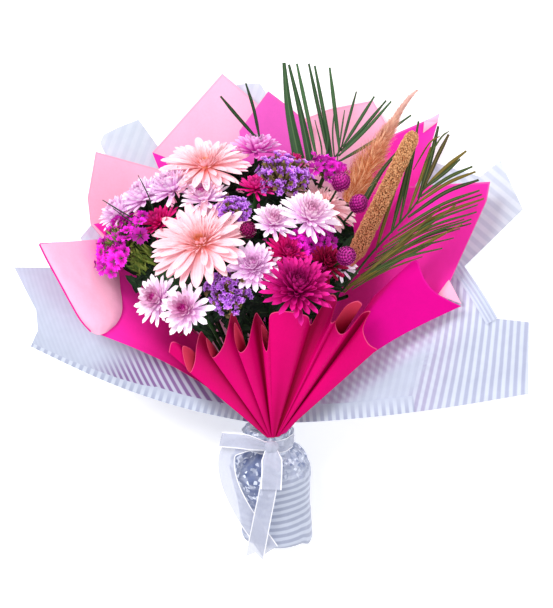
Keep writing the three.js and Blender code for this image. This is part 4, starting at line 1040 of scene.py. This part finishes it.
def gerbera(name, at, radius, facing=None):
    """A gerbera: slim ray petals, a ruff of thin inner ones and a coral disc."""
    head, piece = begin(at, facing)
    for count, lift, share, high, wide in GERBERA_RINGS:
        for k in range(count):
            petal(piece, head, (k + 0.5 * (count % 2)) / count * FULL_TURN + jitter(0.09),
                  lift + jitter(0.1), radius * 0.14, radius * (share - 0.14) * (1 + jitter(0.07)),
                  radius * wide * (1 + jitter(0.12)), high, jitter(0.16) - 0.06, cup=0.42, rows=11,
                  tone=rng.random(), twist=jitter(0.35), sway=jitter(0.07) * radius,
                  shape=(0.38, 0.62, 0.85))
    for k in range(RUFF_RAYS):
        s = k / (RUFF_RAYS - 1)
        petal(piece, head, k * GOLDEN_TURN + jitter(0.1), math.radians(lerp(22, 66, s)) + jitter(0.16),
              radius * lerp(0.15, 0.08, s), radius * lerp(0.44, 0.17, s) * (1 + jitter(0.16)),
              radius * 0.042, lerp(4.8, 7.0, s), math.radians(16), rows=5, columns=3,
              tone=rng.random(), depth=0.3 + 0.45 * s + jitter(0.12), sway=jitter(0.04) * radius)
    for k in range(DISC_FLORETS):
        s = math.sqrt((k + 0.5) / DISC_FLORETS)
        petal(piece, head, k * GOLDEN_TURN, math.radians(lerp(88, 50, s)) + jitter(0.1), radius * 0.13 * s,
              radius * 0.1, radius * 0.03, 8.2 - 2 * s, 0.1, rows=3, columns=3, paint=1,
              tone=rng.random(), depth=0.9 - 0.7 * s)
    a, r = np.meshgrid(turns(24), np.linspace(0.02, 1, 6))
    disc = stacked(np.cos(a) * r * radius * 0.17, np.sin(a) * r * radius * 0.17, 8.4 - 6.5 * r ** 2)
    piece.grid(head.put(disc), paint=1, depth=0.9, closed=True)
    piece.make(name + "_petals", [PEACH_PETAL, CORAL_DISC], name, "petals_peach")


LILAC = "petals_lilac_white"

# Each head: its place, radius, finish and slot, and the way it faces where that isn't outwards.
mum("mum_magenta", (29, 148, 198), 38, FUCHSIA_PETAL, "petals_fuchsia", (0.12, 0.6, 0.8), petals=190,
    wide=0.15)
mum("mum_white_low", (-79, 127, 186), 27, WHITE_PETAL, LILAC, petals=84, close_angle=70, wide=0.23,
    eye=1.25)
mum("mum_white_edge", (-108, 137, 162), 26, WHITE_PETAL, LILAC, petals=96, eye=1.25)
mum("mum_pink_middle", (-14, 169, 184), 28, BLUSH_PETAL, "petals_pink", petals=120)
mum("mum_wine", (58, 172, 178), 22, WINE_PETAL, "petals_wine", petals=110, wide=0.18)
mum("mum_crimson_behind", (20, 182, 172), 24, CRIMSON_PETAL, "petals_crimson", petals=130, wide=0.17)
mum("mum_white_right", (41, 218, 172), 31, WHITE_PETAL, LILAC, petals=140, wide=0.19)
mum("mum_white_centre", (6, 212, 170), 23, WHITE_PETAL, LILAC)
mum("mum_white_eye", (-63, 238, 142), 26, WHITE_PETAL, LILAC, eye=1.25)
mum("mum_white_top", (-96, 248, 124), 31, BLUSH_PETAL, LILAC, petals=130, wide=0.18)
mum("mum_white_left", (-125, 240, 112), 28, BLUSH_PETAL, LILAC, petals=120)
mum("mum_white_far_left", (-150, 225, 102), 26, BLUSH_PETAL, LILAC)
mum("mum_cerise_left", (-108, 214, 134), 22, CRIMSON_PETAL, "petals_crimson", petals=100, wide=0.17)
mum("mum_cerise_middle", (-12, 248, 142), 20, CERISE_PETAL, "petals_fuchsia", petals=100, wide=0.17)
mum("mum_pink_top", (-12, 289, 98), 28, ORCHID_PETAL, "petals_orchid", petals=120)
mum("mum_crimson_top", (27, 279, 98), 12, CRIMSON_PETAL, "petals_crimson", petals=60)
mum("mum_white_hidden", (72, 172, 148), 20, WHITE_PETAL, LILAC, petals=70)
gerbera("gerbera_lower", (-66, 194, 172), 53)
gerbera("gerbera_upper", (-62, 272, 118), 47, (-0.12, 0.8, 0.58))
gerbera("gerbera_right", (54, 233, 118), 38)


def cup(piece, centre, out, radius, tall, lobes, ruffle, **looks):
    """A small ruffled cup that opens along out."""
    spin = jitter(3)
    side = unit(np.cross(out, vec(0.3, 0.9, 0.2)))
    a, s = np.meshgrid(turns(lobes * 4), [0.12, 0.5, 0.85, 1.0])
    r = radius * s ** 0.8 * (1 + ruffle * np.cos(lobes * a + spin) * s)
    rise = tall * (s - 0.5) + ruffle * tall * 0.6 * np.sin(2 * lobes * a + spin) * s ** 2
    grid = centre + around(a, side, np.cross(out, side)) * r[..., None] + out * rise[..., None]
    piece.grid(grid, tone=rng.random(), closed=True, **looks)


def statice(name, at, radius, cups):
    """Statice: small ruffled papery cups crowded on branching brown-green stalks."""
    head, piece = begin(at)
    for k in range(cups):
        lift = math.asin(1 - 0.95 * (k + 0.5) / cups)
        out = polar(k * GOLDEN_TURN + jitter(0.4), math.cos(lift), math.sin(lift))
        far = radius * (0.88 + jitter(0.16)) * (0.8 + 0.2 * math.sin(k * 2.1))
        centre = head.put(out * far + UP * radius * 0.2)
        aim = head.axes @ unit(out + vec(jitter(0.5), jitter(0.5), 0.25 + jitter(0.3)))
        dry = rng.random() < 0.24
        size = 2.2 + jitter(0.4) if dry else 3.0 + jitter(0.8)
        cup(piece, centre, aim, size, 3.2, 5, 0.24, paint=1 if dry else 0)
        if not dry:
            cup(piece, centre + aim * 0.7, aim, size * 0.5, 2.0, 4, 0.3)
        back = centre - aim * 5.0
        tube(piece, [lerp(head.base, back, 0.35), back, centre - aim * 0.8], 2.2, sides=5, count=4,
             tone=rng.random(), paint=1, taper=0.9)
    piece.make(name + "_cups", [STATICE_CUP, CALYX], name, "statice_purple")


statice("statice_left", (-35, 222, 152), 20, 100)
statice("statice_top", (14, 252, 128), 32, 200)
statice("statice_low", (-37, 145, 172), 26, 160)


def folded(piece, line, side, half, over, tone, paint):
    """A leaf along a line, from half its width, its sides folded over."""
    u = np.array([-1, -0.5, 0, 0.5, 1])
    half = half[:, None]
    grid = line[:, None] + side * (half * u)[..., None] + over * (half * np.abs(u))[..., None]
    piece.grid(grid, tone=tone, paint=paint)


def leaflet(piece, root, tip, wide, tone, rows, bow=3.0):
    """A narrow pointed leaf, folded along its middle."""
    run = tip - root
    side = unit(np.cross(run, UP))
    up = unit(np.cross(side, run))
    t = np.linspace(0, 1, rows)
    line = root + run * t[:, None] + up * (bow * np.sin(math.pi * t))[:, None]
    half = wide / 2 * np.maximum(np.sin(math.pi * np.minimum(0.12 + 0.88 * t, 1) ** 0.75) ** 0.6, 0.05)
    folded(piece, line, side, half, up * 0.35, tone, 1)


def floret(piece, head, turn, centre, bare):
    """A floret of five petals with toothed rims on its stalk. In the bare place it has only the stalk."""
    half = 0.62
    a, share = np.meshgrid(np.linspace(-half, half, 9), np.linspace(0.1, 1, 5))
    teeth = 1 + 0.12 * np.cos(a * FULL_TURN * 2 / half) * share ** 3
    shape = share * teeth * (1 - 0.25 * (a / half) ** 2 * share)
    face = Head((0, 0, 0), (centre[0] * 0.035 + jitter(0.9), centre[1] * 0.035 + jitter(0.9), 1))
    reach = 7.6 + jitter(1.6)
    tone = rng.random()
    seen = head.put(centre) - head.at
    shown = bare is None or math.hypot(seen[0] - bare[0], seen[1] - bare[1]) > bare[2]
    for p in range(5 if shown else 0):
        direction = turn * 3 + p * FULL_TURN / 5 + a * (0.55 + 0.55 * share)
        z = 1.2 * share + 0.7 * np.sin(a * 7 + p) * share ** 2
        local = stacked(reach * shape * np.cos(direction), reach * shape * np.sin(direction), z)
        piece.grid(head.put(local @ face.axes.T + centre),
                   tone=np.clip(tone + jitter(0.35) + 0.3 * (1 - share), -0.2, 1))
    tube(piece, head.put(np.stack([centre * 0, centre * 0.6, centre])), 2.2, sides=5, count=5, tone=0.6,
         paint=1)


def dianthus(name, at, radius, florets, facing=None, bare=None, spikes=0):
    """Dianthus: a crowd of five-petalled florets with toothed rims over narrow green bracts.

    Around the bare place, given across and up from the middle, the bracts show in place of florets.
    """
    head, piece = begin(at, facing)
    for k in range(florets):
        away = 0.86 * math.sqrt((k + 0.4) / florets)
        turn = k * GOLDEN_TURN
        floret(piece, head, turn, polar(turn, away * radius, 17 - 10 * away ** 2 + jitter(2.0)), bare)
    for _ in range(florets * 3):
        petal(piece, head, any_turn(), math.radians(rng.uniform(20, 80)), 3,
              radius * rng.uniform(0.35, 0.6), 2.0, 4, jitter(0.5), rows=5, columns=3, paint=1,
              tone=rng.random() ** 2, shape=(0.8, 0.3, 0.6))
    for _ in range(spikes):
        aim = any_turn()
        near = rng.uniform(0, bare[2])
        foot = head.at + vec(bare[0], bare[1], 0) + polar(aim, near, -2 + jitter(4)) - head.facing * 4
        lean = unit(head.facing + vec(jitter(0.7), jitter(0.7), 0.3))
        leaflet(piece, foot, foot + lean * rng.uniform(10, 19), rng.uniform(1.6, 2.8), bow=1.0,
                tone=rng.random(), rows=6)
    piece.make(name + "_florets", [DIANTHUS_PETAL, BRACT_LEAF], name, "dianthus_pink")


dianthus("dianthus_left", (-144, 191, 130), 42, 40, bare=(19, -14, 16), spikes=90)
dianthus("dianthus_top", (58, 264, 112), 24, 17)
dianthus("dianthus_middle", (44, 194, 158), 25, 21, (0.3, 0.5, 0.8))


def globe(name, at, radius, look):
    """Globe amaranth: a ball of pointed papery bracts."""
    head, piece = begin(at, slim=True)
    count = 130
    for k in range(count):
        z = 1 - 2 * (k + 0.5) / count
        out = polar(k * GOLDEN_TURN, math.sqrt(1 - z * z), z)
        side = polar(k * GOLDEN_TURN + math.pi / 2)
        up = np.cross(out, side)
        up = up if up[2] > 0 else -up
        middle = out * radius * vec(0.9, 0.9, 1.0) + UP * radius * 1.04
        tip = middle + (up * 0.5 + out * 0.42) * radius * (0.42 + jitter(0.06))
        root = middle - up * radius * 0.2 - out * radius * 0.06
        rows = []
        for t, wide in ((0, 0.1), (0.45, 0.175), (1, 0.02)):
            line = lerp(root, tip, t) + out * radius * 0.06 * math.sin(math.pi * t)
            half = side * wide * radius
            rows.append([line - half, line + out * radius * 0.05, line + half])
        piece.grid(head.put(np.array(rows)), tone=rng.random())
    # The core is darker than the bracts: painted shade in the gaps between them.
    a, b = np.meshgrid(turns(20), np.linspace(-1.5, 1.5, 10))
    core = stacked(np.cos(b) * np.cos(a), np.cos(b) * np.sin(a), np.sin(b) * 1.08)
    piece.grid(head.put(core * radius * 0.86 + UP * radius * 1.04), tone=-0.5, closed=True)
    piece.make(name + "_bracts", [look], name, "globe_purple")


globe("globe_top", (71, 250, 142), 8.5, GLOBE_BRACT)
globe("globe_right", (88, 229, 140), 8.5, GLOBE_BRACT)
globe("globe_low", (74, 177, 201), 8.5, GLOBE_BRACT)
globe("globe_dark", (-19, 203, 178), 7.5, DARK_BRACT)


def millet():
    """The millet head: seeds packed round a tapering, slightly bent core."""
    line = catmull([(80, 170, 162), (112, 236, 173), (141, 297, 182)], 60)
    seeds = 2500

    def body(t):
        ends = np.minimum(smooth(t, -0.06, 0.16), np.sqrt(np.clip((1.006 - t) / 0.075, 0, 1)))
        return MILLET_RADIUS * (0.62 + 0.38 * ends) * np.minimum(1, 0.25 + ends) * (1 - 0.2 * t)

    def place(t):
        return stacked(*[np.interp(t, np.linspace(0, 1, 60), part) for part in line.T])

    axis = unit(line[-1] - line[0])
    side, over = square_to(axis)
    piece = Piece()
    t = np.linspace(0, 1, 50)[:, None]
    turn = turns(24)
    r = (body(t) - 1.3) * (1 + 0.04 * np.sin(5 * turn + 30 * t))
    # The core under the seeds, dark: painted shade in the gaps.
    piece.grid(place(t) + around(turn, side, over) * r[..., None], paint=1, closed=True)
    ring, level = np.meshgrid(turns(6), [-0.95, -0.45, 0.45, 0.95])
    flat = np.sqrt(1 - level ** 2)
    seed = stacked(flat * np.cos(ring), flat * np.sin(ring), level * 1.15)
    for k in range(seeds):
        share = (k + 0.5) / seeds
        a = k * GOLDEN_TURN + jitter(0.09)
        r = body(share) - 0.8 + jitter(0.35)
        out = around(a, side, over)
        lean = unit(out + axis * 0.5)
        cross = unit(np.cross(lean, axis))
        size = 0.98 * (1 + jitter(0.25))
        centre = place(share + jitter(0.004)) + out * r
        piece.grid(centre + seed @ np.array([cross, np.cross(lean, cross), lean]) * size,
                   tone=rng.random() ** 0.8, depth=1 - share ** 0.7, closed=True)
    for _ in range(150):
        share = rng.random()
        out = around(any_turn(), side, over)
        foot = place(share) + out * (body(share) - 1)
        tube(piece, [foot, foot + out * 1.6 + axis * 1.0, foot + out * 2.4 + axis * 2.4], 0.25, sides=3,
             count=3, tone=0.9, taper=0.3)
    piece.make("millet_head_seeds", [SEED, SHADED_SEED_GAP], "millet_head", "seed_tan")


def plume():
    """The plume: soft hairs in wisps, swept towards the bent tip of a slim rib."""
    line = catmull([(78, 233, 104), (88, 246, 105), (99, 267, 108), (111, 289, 111), (124, 312, 114),
                    (138, 334, 117), (153, 348, 118)], 80)
    run = headings(line)
    half = [(0, 0.45), (0.06, 0.65), (0.22, 1.0), (0.42, 0.96), (0.58, 0.56), (0.76, 0.2), (1, 0.03)]
    piece = Piece()
    tube(piece, line[::8], 2.2, count=24, tone=0.2, taper=0.3)
    for _ in range(430):
        spot = rng.random() ** 1.1
        a = any_turn()
        lean = jitter(0.25)
        for _ in range(20):
            share = min(max(spot + jitter(0.025), 0), 1)
            at = int(share * 0.9 * (len(line) - 1))
            axis, root = run[at], line[at]
            side, over = square_to(axis)
            out = around(a + jitter(0.5), side, over)
            far = PLUME_REACH * float(np.interp(share, *zip(*half))) * rng.uniform(0.3, 1.04)
            ahead = rng.uniform(3, 16) * (0.5 + 0.5 * (1 - share)) * (1 + lean)
            bent = side * (lean * 5)
            end = root + out * far + axis * ahead + bent - UP
            middle = root + out * far * 0.66 + axis * ahead * 0.3 + bent * 0.3
            wide = unit(np.cross(axis, out)) * rng.uniform(0.22, 0.5)
            hair = np.array([[root - wide, root + wide], [middle - wide, middle + wide],
                             [end - wide * 0.25, end + wide * 0.25]])
            piece.grid(hair, tone=rng.random() ** 1.3, depth=smooth(share, 0.35, 1.0))
    piece.make("plume_hairs", [PLUME_HAIR], "plume", "plume_orange")


millet()
plume()


# A blade wider than this widens down to its root. A slimmer one is widest in its middle.
BROAD_BLADE = 5.5


def blade(piece, stops, wide, tone, paint):
    """A long narrow leaflet through three stops from the tip down: blunt, and folded along its middle."""
    line = catmull(np.reshape(stops, (3, 3)), 18)
    run = headings(line)
    side = unit(np.cross(run, UP))
    t = np.linspace(0, 1, 18)
    if wide > BROAD_BLADE:
        half = wide / 2 * (0.3 + 0.7 * t)
    else:
        half = wide / 2 * (0.55 + 0.45 * smooth(t, 0, 0.35)) * (1 - 0.45 * smooth(t, 0.7, 1.0))
    folded(piece, line, side[:, None], half, np.cross(side, run)[:, None] * -0.45, tone, paint)


def palm(name, looks, slot, rachis, blades):
    """A palm leaf: narrow leaflets in two ranks along its rib.

    Where there are two looks, leaflets 3 mm wide have the second one, and a third of the others.
    """
    piece = Piece()
    two = len(looks) > 1
    tube(piece, rachis, 2.6, sides=8, count=16, tone=0.4, taper=0.5)
    for wide, *stops in blades:
        brown = two and (wide == 3.0 or rng.random() < 0.35)
        broad = lerp(0.84, 1.3, smooth(stops[1], 205, 262)) if two else 1.0
        blade(piece, stops, wide * broad, rng.random(), 1 if brown else 0)
    piece.make(name + "_leaflets", looks, name, slot)


# Each leaflet's width, then its tip, its middle and its root.
palm("palm_left", [PALM_DARK], "palm_dark", [(50, 248, 84), (60, 270, 84), (72, 286, 84), (76, 298, 84)], [
    (12, 16, 375, 86, 21, 328, 84, 31, 278, 84),
    (8.5, 21, 373, 87, 32, 328, 85, 43, 276, 85),
    (4.0, 29, 374, 86, 38, 331, 84, 50, 274, 84),
    (4.0, 41, 374, 87, 51, 328, 85, 64, 268, 85),
    (4.0, 47, 372, 86, 56, 325, 84, 66, 270, 84),
    (4.0, 62, 370, 87, 67, 330, 85, 72, 286, 85),
    (2.8, 89, 346, 86, 82, 320, 84, 75, 294, 84),
    (3.4, 107, 341, 87, 92, 317, 85, 75, 290, 85),
    (3.4, 119, 337, 86, 97, 311, 84, 73, 286, 84),
    (3.4, 124, 336, 87, 98, 307, 86, 71, 281, 86),
    (3.4, 144, 322, 88, 108, 297, 86, 67, 273, 86),
    (1.6, 55, 324, 90, 60, 297, 88, 56, 264, 88),
    (1.6, 67, 330, 90, 65, 302, 88, 68, 268, 88),
    (1.6, 47, 317, 90, 54, 287, 88, 52, 260, 88),
    (1.6, 77, 327, 90, 74, 307, 88, 68, 266, 88),
])
palm("palm_right", [PALM_OLIVE, PALM_BROWN], "palm_olive",
     [(72, 144, 150), (100, 180, 156), (130, 213, 162), (144, 230, 165), (152, 246, 167)], [
         (2.8, 169, 186, 168, 130, 176, 164, 86, 155, 155),
         (3.2, 197, 214, 170, 146, 195, 164, 80, 151, 154),
         (2.8, 197, 210, 168, 150, 196, 163, 94, 166, 155),
         (2.9, 202, 221, 170, 156, 206, 165, 104, 176, 156),
         (3.1, 209, 234, 170, 164, 217, 166, 112, 187, 158),
         (2.8, 205, 242, 170, 168, 228, 167, 126, 203, 160),
         (3.2, 204, 252, 170, 172, 240, 167, 136, 216, 163),
         (2.7, 201, 260, 170, 174, 249, 168, 144, 229, 165),
         (2.7, 198, 265, 170, 174, 254, 168, 148, 236, 166),
         (3.0, 192, 280, 170, 172, 264, 168, 150, 242, 166),
         (3.2, 175, 296, 170, 164, 274, 168, 152, 246, 167),
         (3.4, 165, 304, 170, 157, 270, 168, 146, 234, 165),
         (2.8, 146, 309, 168, 139, 268, 165, 128, 210, 160),
         (3.4, 139, 276, 166, 131, 244, 163, 120, 201, 159),
         (3.0, 126, 250, 164, 117, 224, 161, 105, 184, 157),
         (2.4, 207, 238, 171, 166, 223, 168, 118, 194, 160),
         (2.4, 203, 228, 171, 158, 211, 167, 106, 180, 158),
         (2.4, 190, 214, 170, 146, 199, 166, 98, 170, 157),
         (2.4, 186, 205, 169, 142, 190, 165, 90, 160, 156),
         (2.4, 180, 196, 169, 138, 184, 165, 84, 154, 155),
         (2.2, 150, 178, 166, 118, 166, 162, 84, 148, 155),
         (2.6, 186, 272, 171, 170, 258, 169, 150, 243, 167),
         (2.6, 158, 284, 169, 149, 256, 167, 136, 220, 163),
         (1.3, 175, 299, 172, 167, 292, 170, 152, 268, 168),
         (1.3, 166, 294, 172, 156, 287, 170, 141, 262, 166),
         (3.0, 182, 228, 169, 134, 192, 163, 76, 147, 155),
         (3.0, 188, 209, 171, 140, 184, 164, 84, 152, 156),
         (3.0, 172, 200, 169, 132, 178, 163, 84, 150, 155),
         (2.6, 158, 190, 168, 124, 172, 162, 82, 146, 155),
         (3.0, 167, 225, 171, 124, 187, 162, 74, 143, 155),
         (5.0, 133, 288, 124, 113, 264, 122, 96, 235, 122),
     ])

# Stems and their leaves

# The millet's, the plume's and the palms' stems end here.
STALKS += [((80, 170, 162), False), ((84, 240, 104), False), ((50, 243, 84), False), ((82, 142, 150), False)]
CROWD_MIDDLE = -27, 188
CROWD_HALF = 122, 90
FAN_CLEARANCE = 15
CUT_STEMS = 9
BUNDLE_RADIUS = 9
LEAVES = 520
NEEDLES = 260
LOWEST_LEAF = 92
# Each blade of grass: its width, then its tip, its middle and its root.
GRASS = [(3.6, -47, 338, 118, -30, 318, 114, -10, 296, 104),
         (3.2, -22, 351, 118, -14, 325, 114, -8, 296, 104),
         (1.4, -162, 234, 142, -146, 224, 138, -128, 214, 134),
         (1.2, -127, 258, 146, -118, 240, 140, -112, 222, 134),
         (1.2, -152, 226, 140, -136, 214, 138, -120, 205, 132)]


def under_heads(x, y):
    """How high the leaves lie under the heads."""
    return float(150 - 92 * np.clip((y - 118) / 175, 0, 1.1) ** 1.4 - 52 * (abs(x + 10) / 165) ** 2)


def behind_fan(place):
    """The same place, lowered where it would come through the fan or the cone."""
    x, y, z = place
    if y < 165:
        place[2] = min(z, float(wrap_front(x, y)) - FAN_CLEARANCE - 0.08 * math.hypot(x, y))
    return place


def among_heads(place):
    """Whether a place is in the oval that the heads cover, seen from the front."""
    return math.hypot(*[(place[k] - CROWD_MIDDLE[k]) / CROWD_HALF[k] for k in (0, 1)]) < 1


def leaves_between(piece):
    """Leaves, dark and darkened further as painted shade, and thin needles that fill the gaps between the
    heads.
    """
    for k in range(LEAVES):
        far = math.sqrt((k + 0.5) / LEAVES)
        x = -26 + 124 * far * math.cos(k * GOLDEN_TURN)
        y = 192 + 92 * far * math.sin(k * GOLDEN_TURN)
        aim = polar(any_turn(), 1, rng.uniform(-0.1, 0.5))
        root = behind_fan(vec(x, y, under_heads(x, y) + jitter(7)))
        end = behind_fan(root + aim * rng.uniform(18, 32))
        if end[1] >= LOWEST_LEAF and among_heads(end):
            leaflet(piece, root, end, rng.uniform(6, 12), bow=1, tone=rng.random() ** 2 * 0.7, rows=7)
    for _ in range(NEEDLES):
        x, y = rng.uniform(-150, 78), rng.uniform(96, 240)
        if among_heads((x, y)):
            aim = polar(any_turn(), 1, rng.uniform(0.2, 1.2))
            root = behind_fan(vec(x, y, under_heads(x, y) + 8 + jitter(5)))
            leaflet(piece, root, behind_fan(root + aim * rng.uniform(9, 20)), rng.uniform(0.9, 1.8), bow=1,
                    tone=rng.random(), rows=5)


def stem(piece, at, slim):
    """A stem from the tie to its head, with leaves along its upper half."""
    head = Head(at)
    aim = head.base - TIE
    slot = vec(aim[0], 0, (aim[2] - 60) * 1.4) * 0.085
    slot = slot * min(1, 8 / max(np.linalg.norm(slot), 1e-6))
    low = TIE + slot * 1.2 + AXIS * 20
    rise = head.base - head.facing * 0.25 * np.linalg.norm(aim)
    line = [low, (low + rise) / 2, rise, head.base - head.facing * 0.3]
    tube(piece, line, 2.2 if slim else 3.8, sides=8, count=18, tone=rng.random() * (0.3 if slim else 1))
    run = unit(head.base - rise)
    for _ in range(9):
        root = catmull(line, 20)[int(rng.uniform(0.45, 0.98) * 19)]
        out = around(any_turn(), *square_to(run + vec(0.01, 0, 0)))
        end = behind_fan(root + out * rng.uniform(12, 22) + run * rng.uniform(2, 14))
        root = behind_fan(root)
        if among_heads(end):
            end[2] = min(end[2], under_heads(end[0], end[1]) + 14)
            leaflet(piece, root, end, rng.uniform(5, 9), tone=rng.random() * 0.7, rows=8)


def cut_stems(piece):
    """The stems below the tie, spread to their cut ends in the handle."""
    for k in range(CUT_STEMS):
        far = math.sqrt((k + 0.5) / CUT_STEMS) * BUNDLE_RADIUS
        slot = vec(math.cos(k * GOLDEN_TURN) * far, 0, math.sin(k * GOLDEN_TURN) * far)
        lower = TIE + AXIS * (1.4 - HANDLE_LENGTH) + slot * 2.3 + vec(HANDLE_LEAN, 0, 0)
        tube(piece, [TIE + slot * 0.8 + AXIS * 24, TIE + slot * 0.8, lower],
             4.6, sides=8, count=14, tone=rng.random())


def stems():
    """The stems with their leaves, the leaves between the heads and a few blades of grass."""
    piece = Piece()
    for at, slim in STALKS:
        stem(piece, at, slim)
    leaves_between(piece)
    for wide, *stops in GRASS:
        blade(piece, stops, wide, 0.25, 1)
    cut_stems(piece)
    piece.make("stems_and_leaves", [STEM, LEAF], "stems", "stem_green")


stems()

# Surface, light and camera

SENSOR_WIDTH = 36
PHOTO_HEIGHT = 608
FOCAL_LENGTH = 2100
CAMERA_PLACE = vec(8.5, 132, 2200)


def floor():
    """The pale floor that the bouquet lies on."""
    bpy.ops.mesh.primitive_plane_add(size=12, location=(0, 0, -0.0004))
    plane = bpy.context.object
    plane.name = "floor"
    finish, tree, shader = start("floor_pale", 0.9, specular=0.1)
    colour_with(shader, "ffffff", shared(tree, MOTTLE, "Shade", Scale=3.0, Amount=0.01))
    shader.inputs["Emission Color"].default_value = (1, 1, 1, 1)
    shader.inputs["Emission Strength"].default_value = 0.2
    plane.data.materials.append(finish)


def lamp(name, place, size, power):
    """A soft square light that points at the bouquet."""
    data = bpy.data.lights.new(name, "AREA")
    data.size = size
    data.energy = power
    made = bpy.data.objects.new(name, data)
    made.location = place
    made.rotation_mode = "QUATERNION"
    made.rotation_quaternion = (Vector((0, 0, 0.1)) - Vector(place)).to_track_quat("-Z", "Y")
    bpy.context.scene.collection.objects.link(made)


def studio():
    """The floor, two lights, a bright surround and the camera straight above, as in the photo."""
    floor()
    lamp("key_light", (-1.1, 1.0, 2.0), 1.0, 50)
    lamp("fill_light", (1.5, -0.6, 1.8), 1.8, 16)
    world = bpy.data.worlds.new("studio")
    world.use_nodes = True
    back = world.node_tree.nodes["Background"]
    back.inputs[0].default_value = (1, 1, 1, 1)
    back.inputs[1].default_value = 0.68
    scene = bpy.context.scene
    scene.world = world
    scene.view_settings.view_transform = "Standard"
    scene.view_settings.look = "None"
    camera = bpy.data.cameras.new("camera")
    camera.lens = SENSOR_WIDTH * FOCAL_LENGTH / PHOTO_HEIGHT
    camera.sensor_width = SENSOR_WIDTH
    camera.clip_end = 20
    seen = bpy.data.objects.new("camera", camera)
    seen.location = Vector(ORIGIN + CAMERA_PLACE * MM)
    scene.collection.objects.link(seen)
    scene.camera = seen


studio()
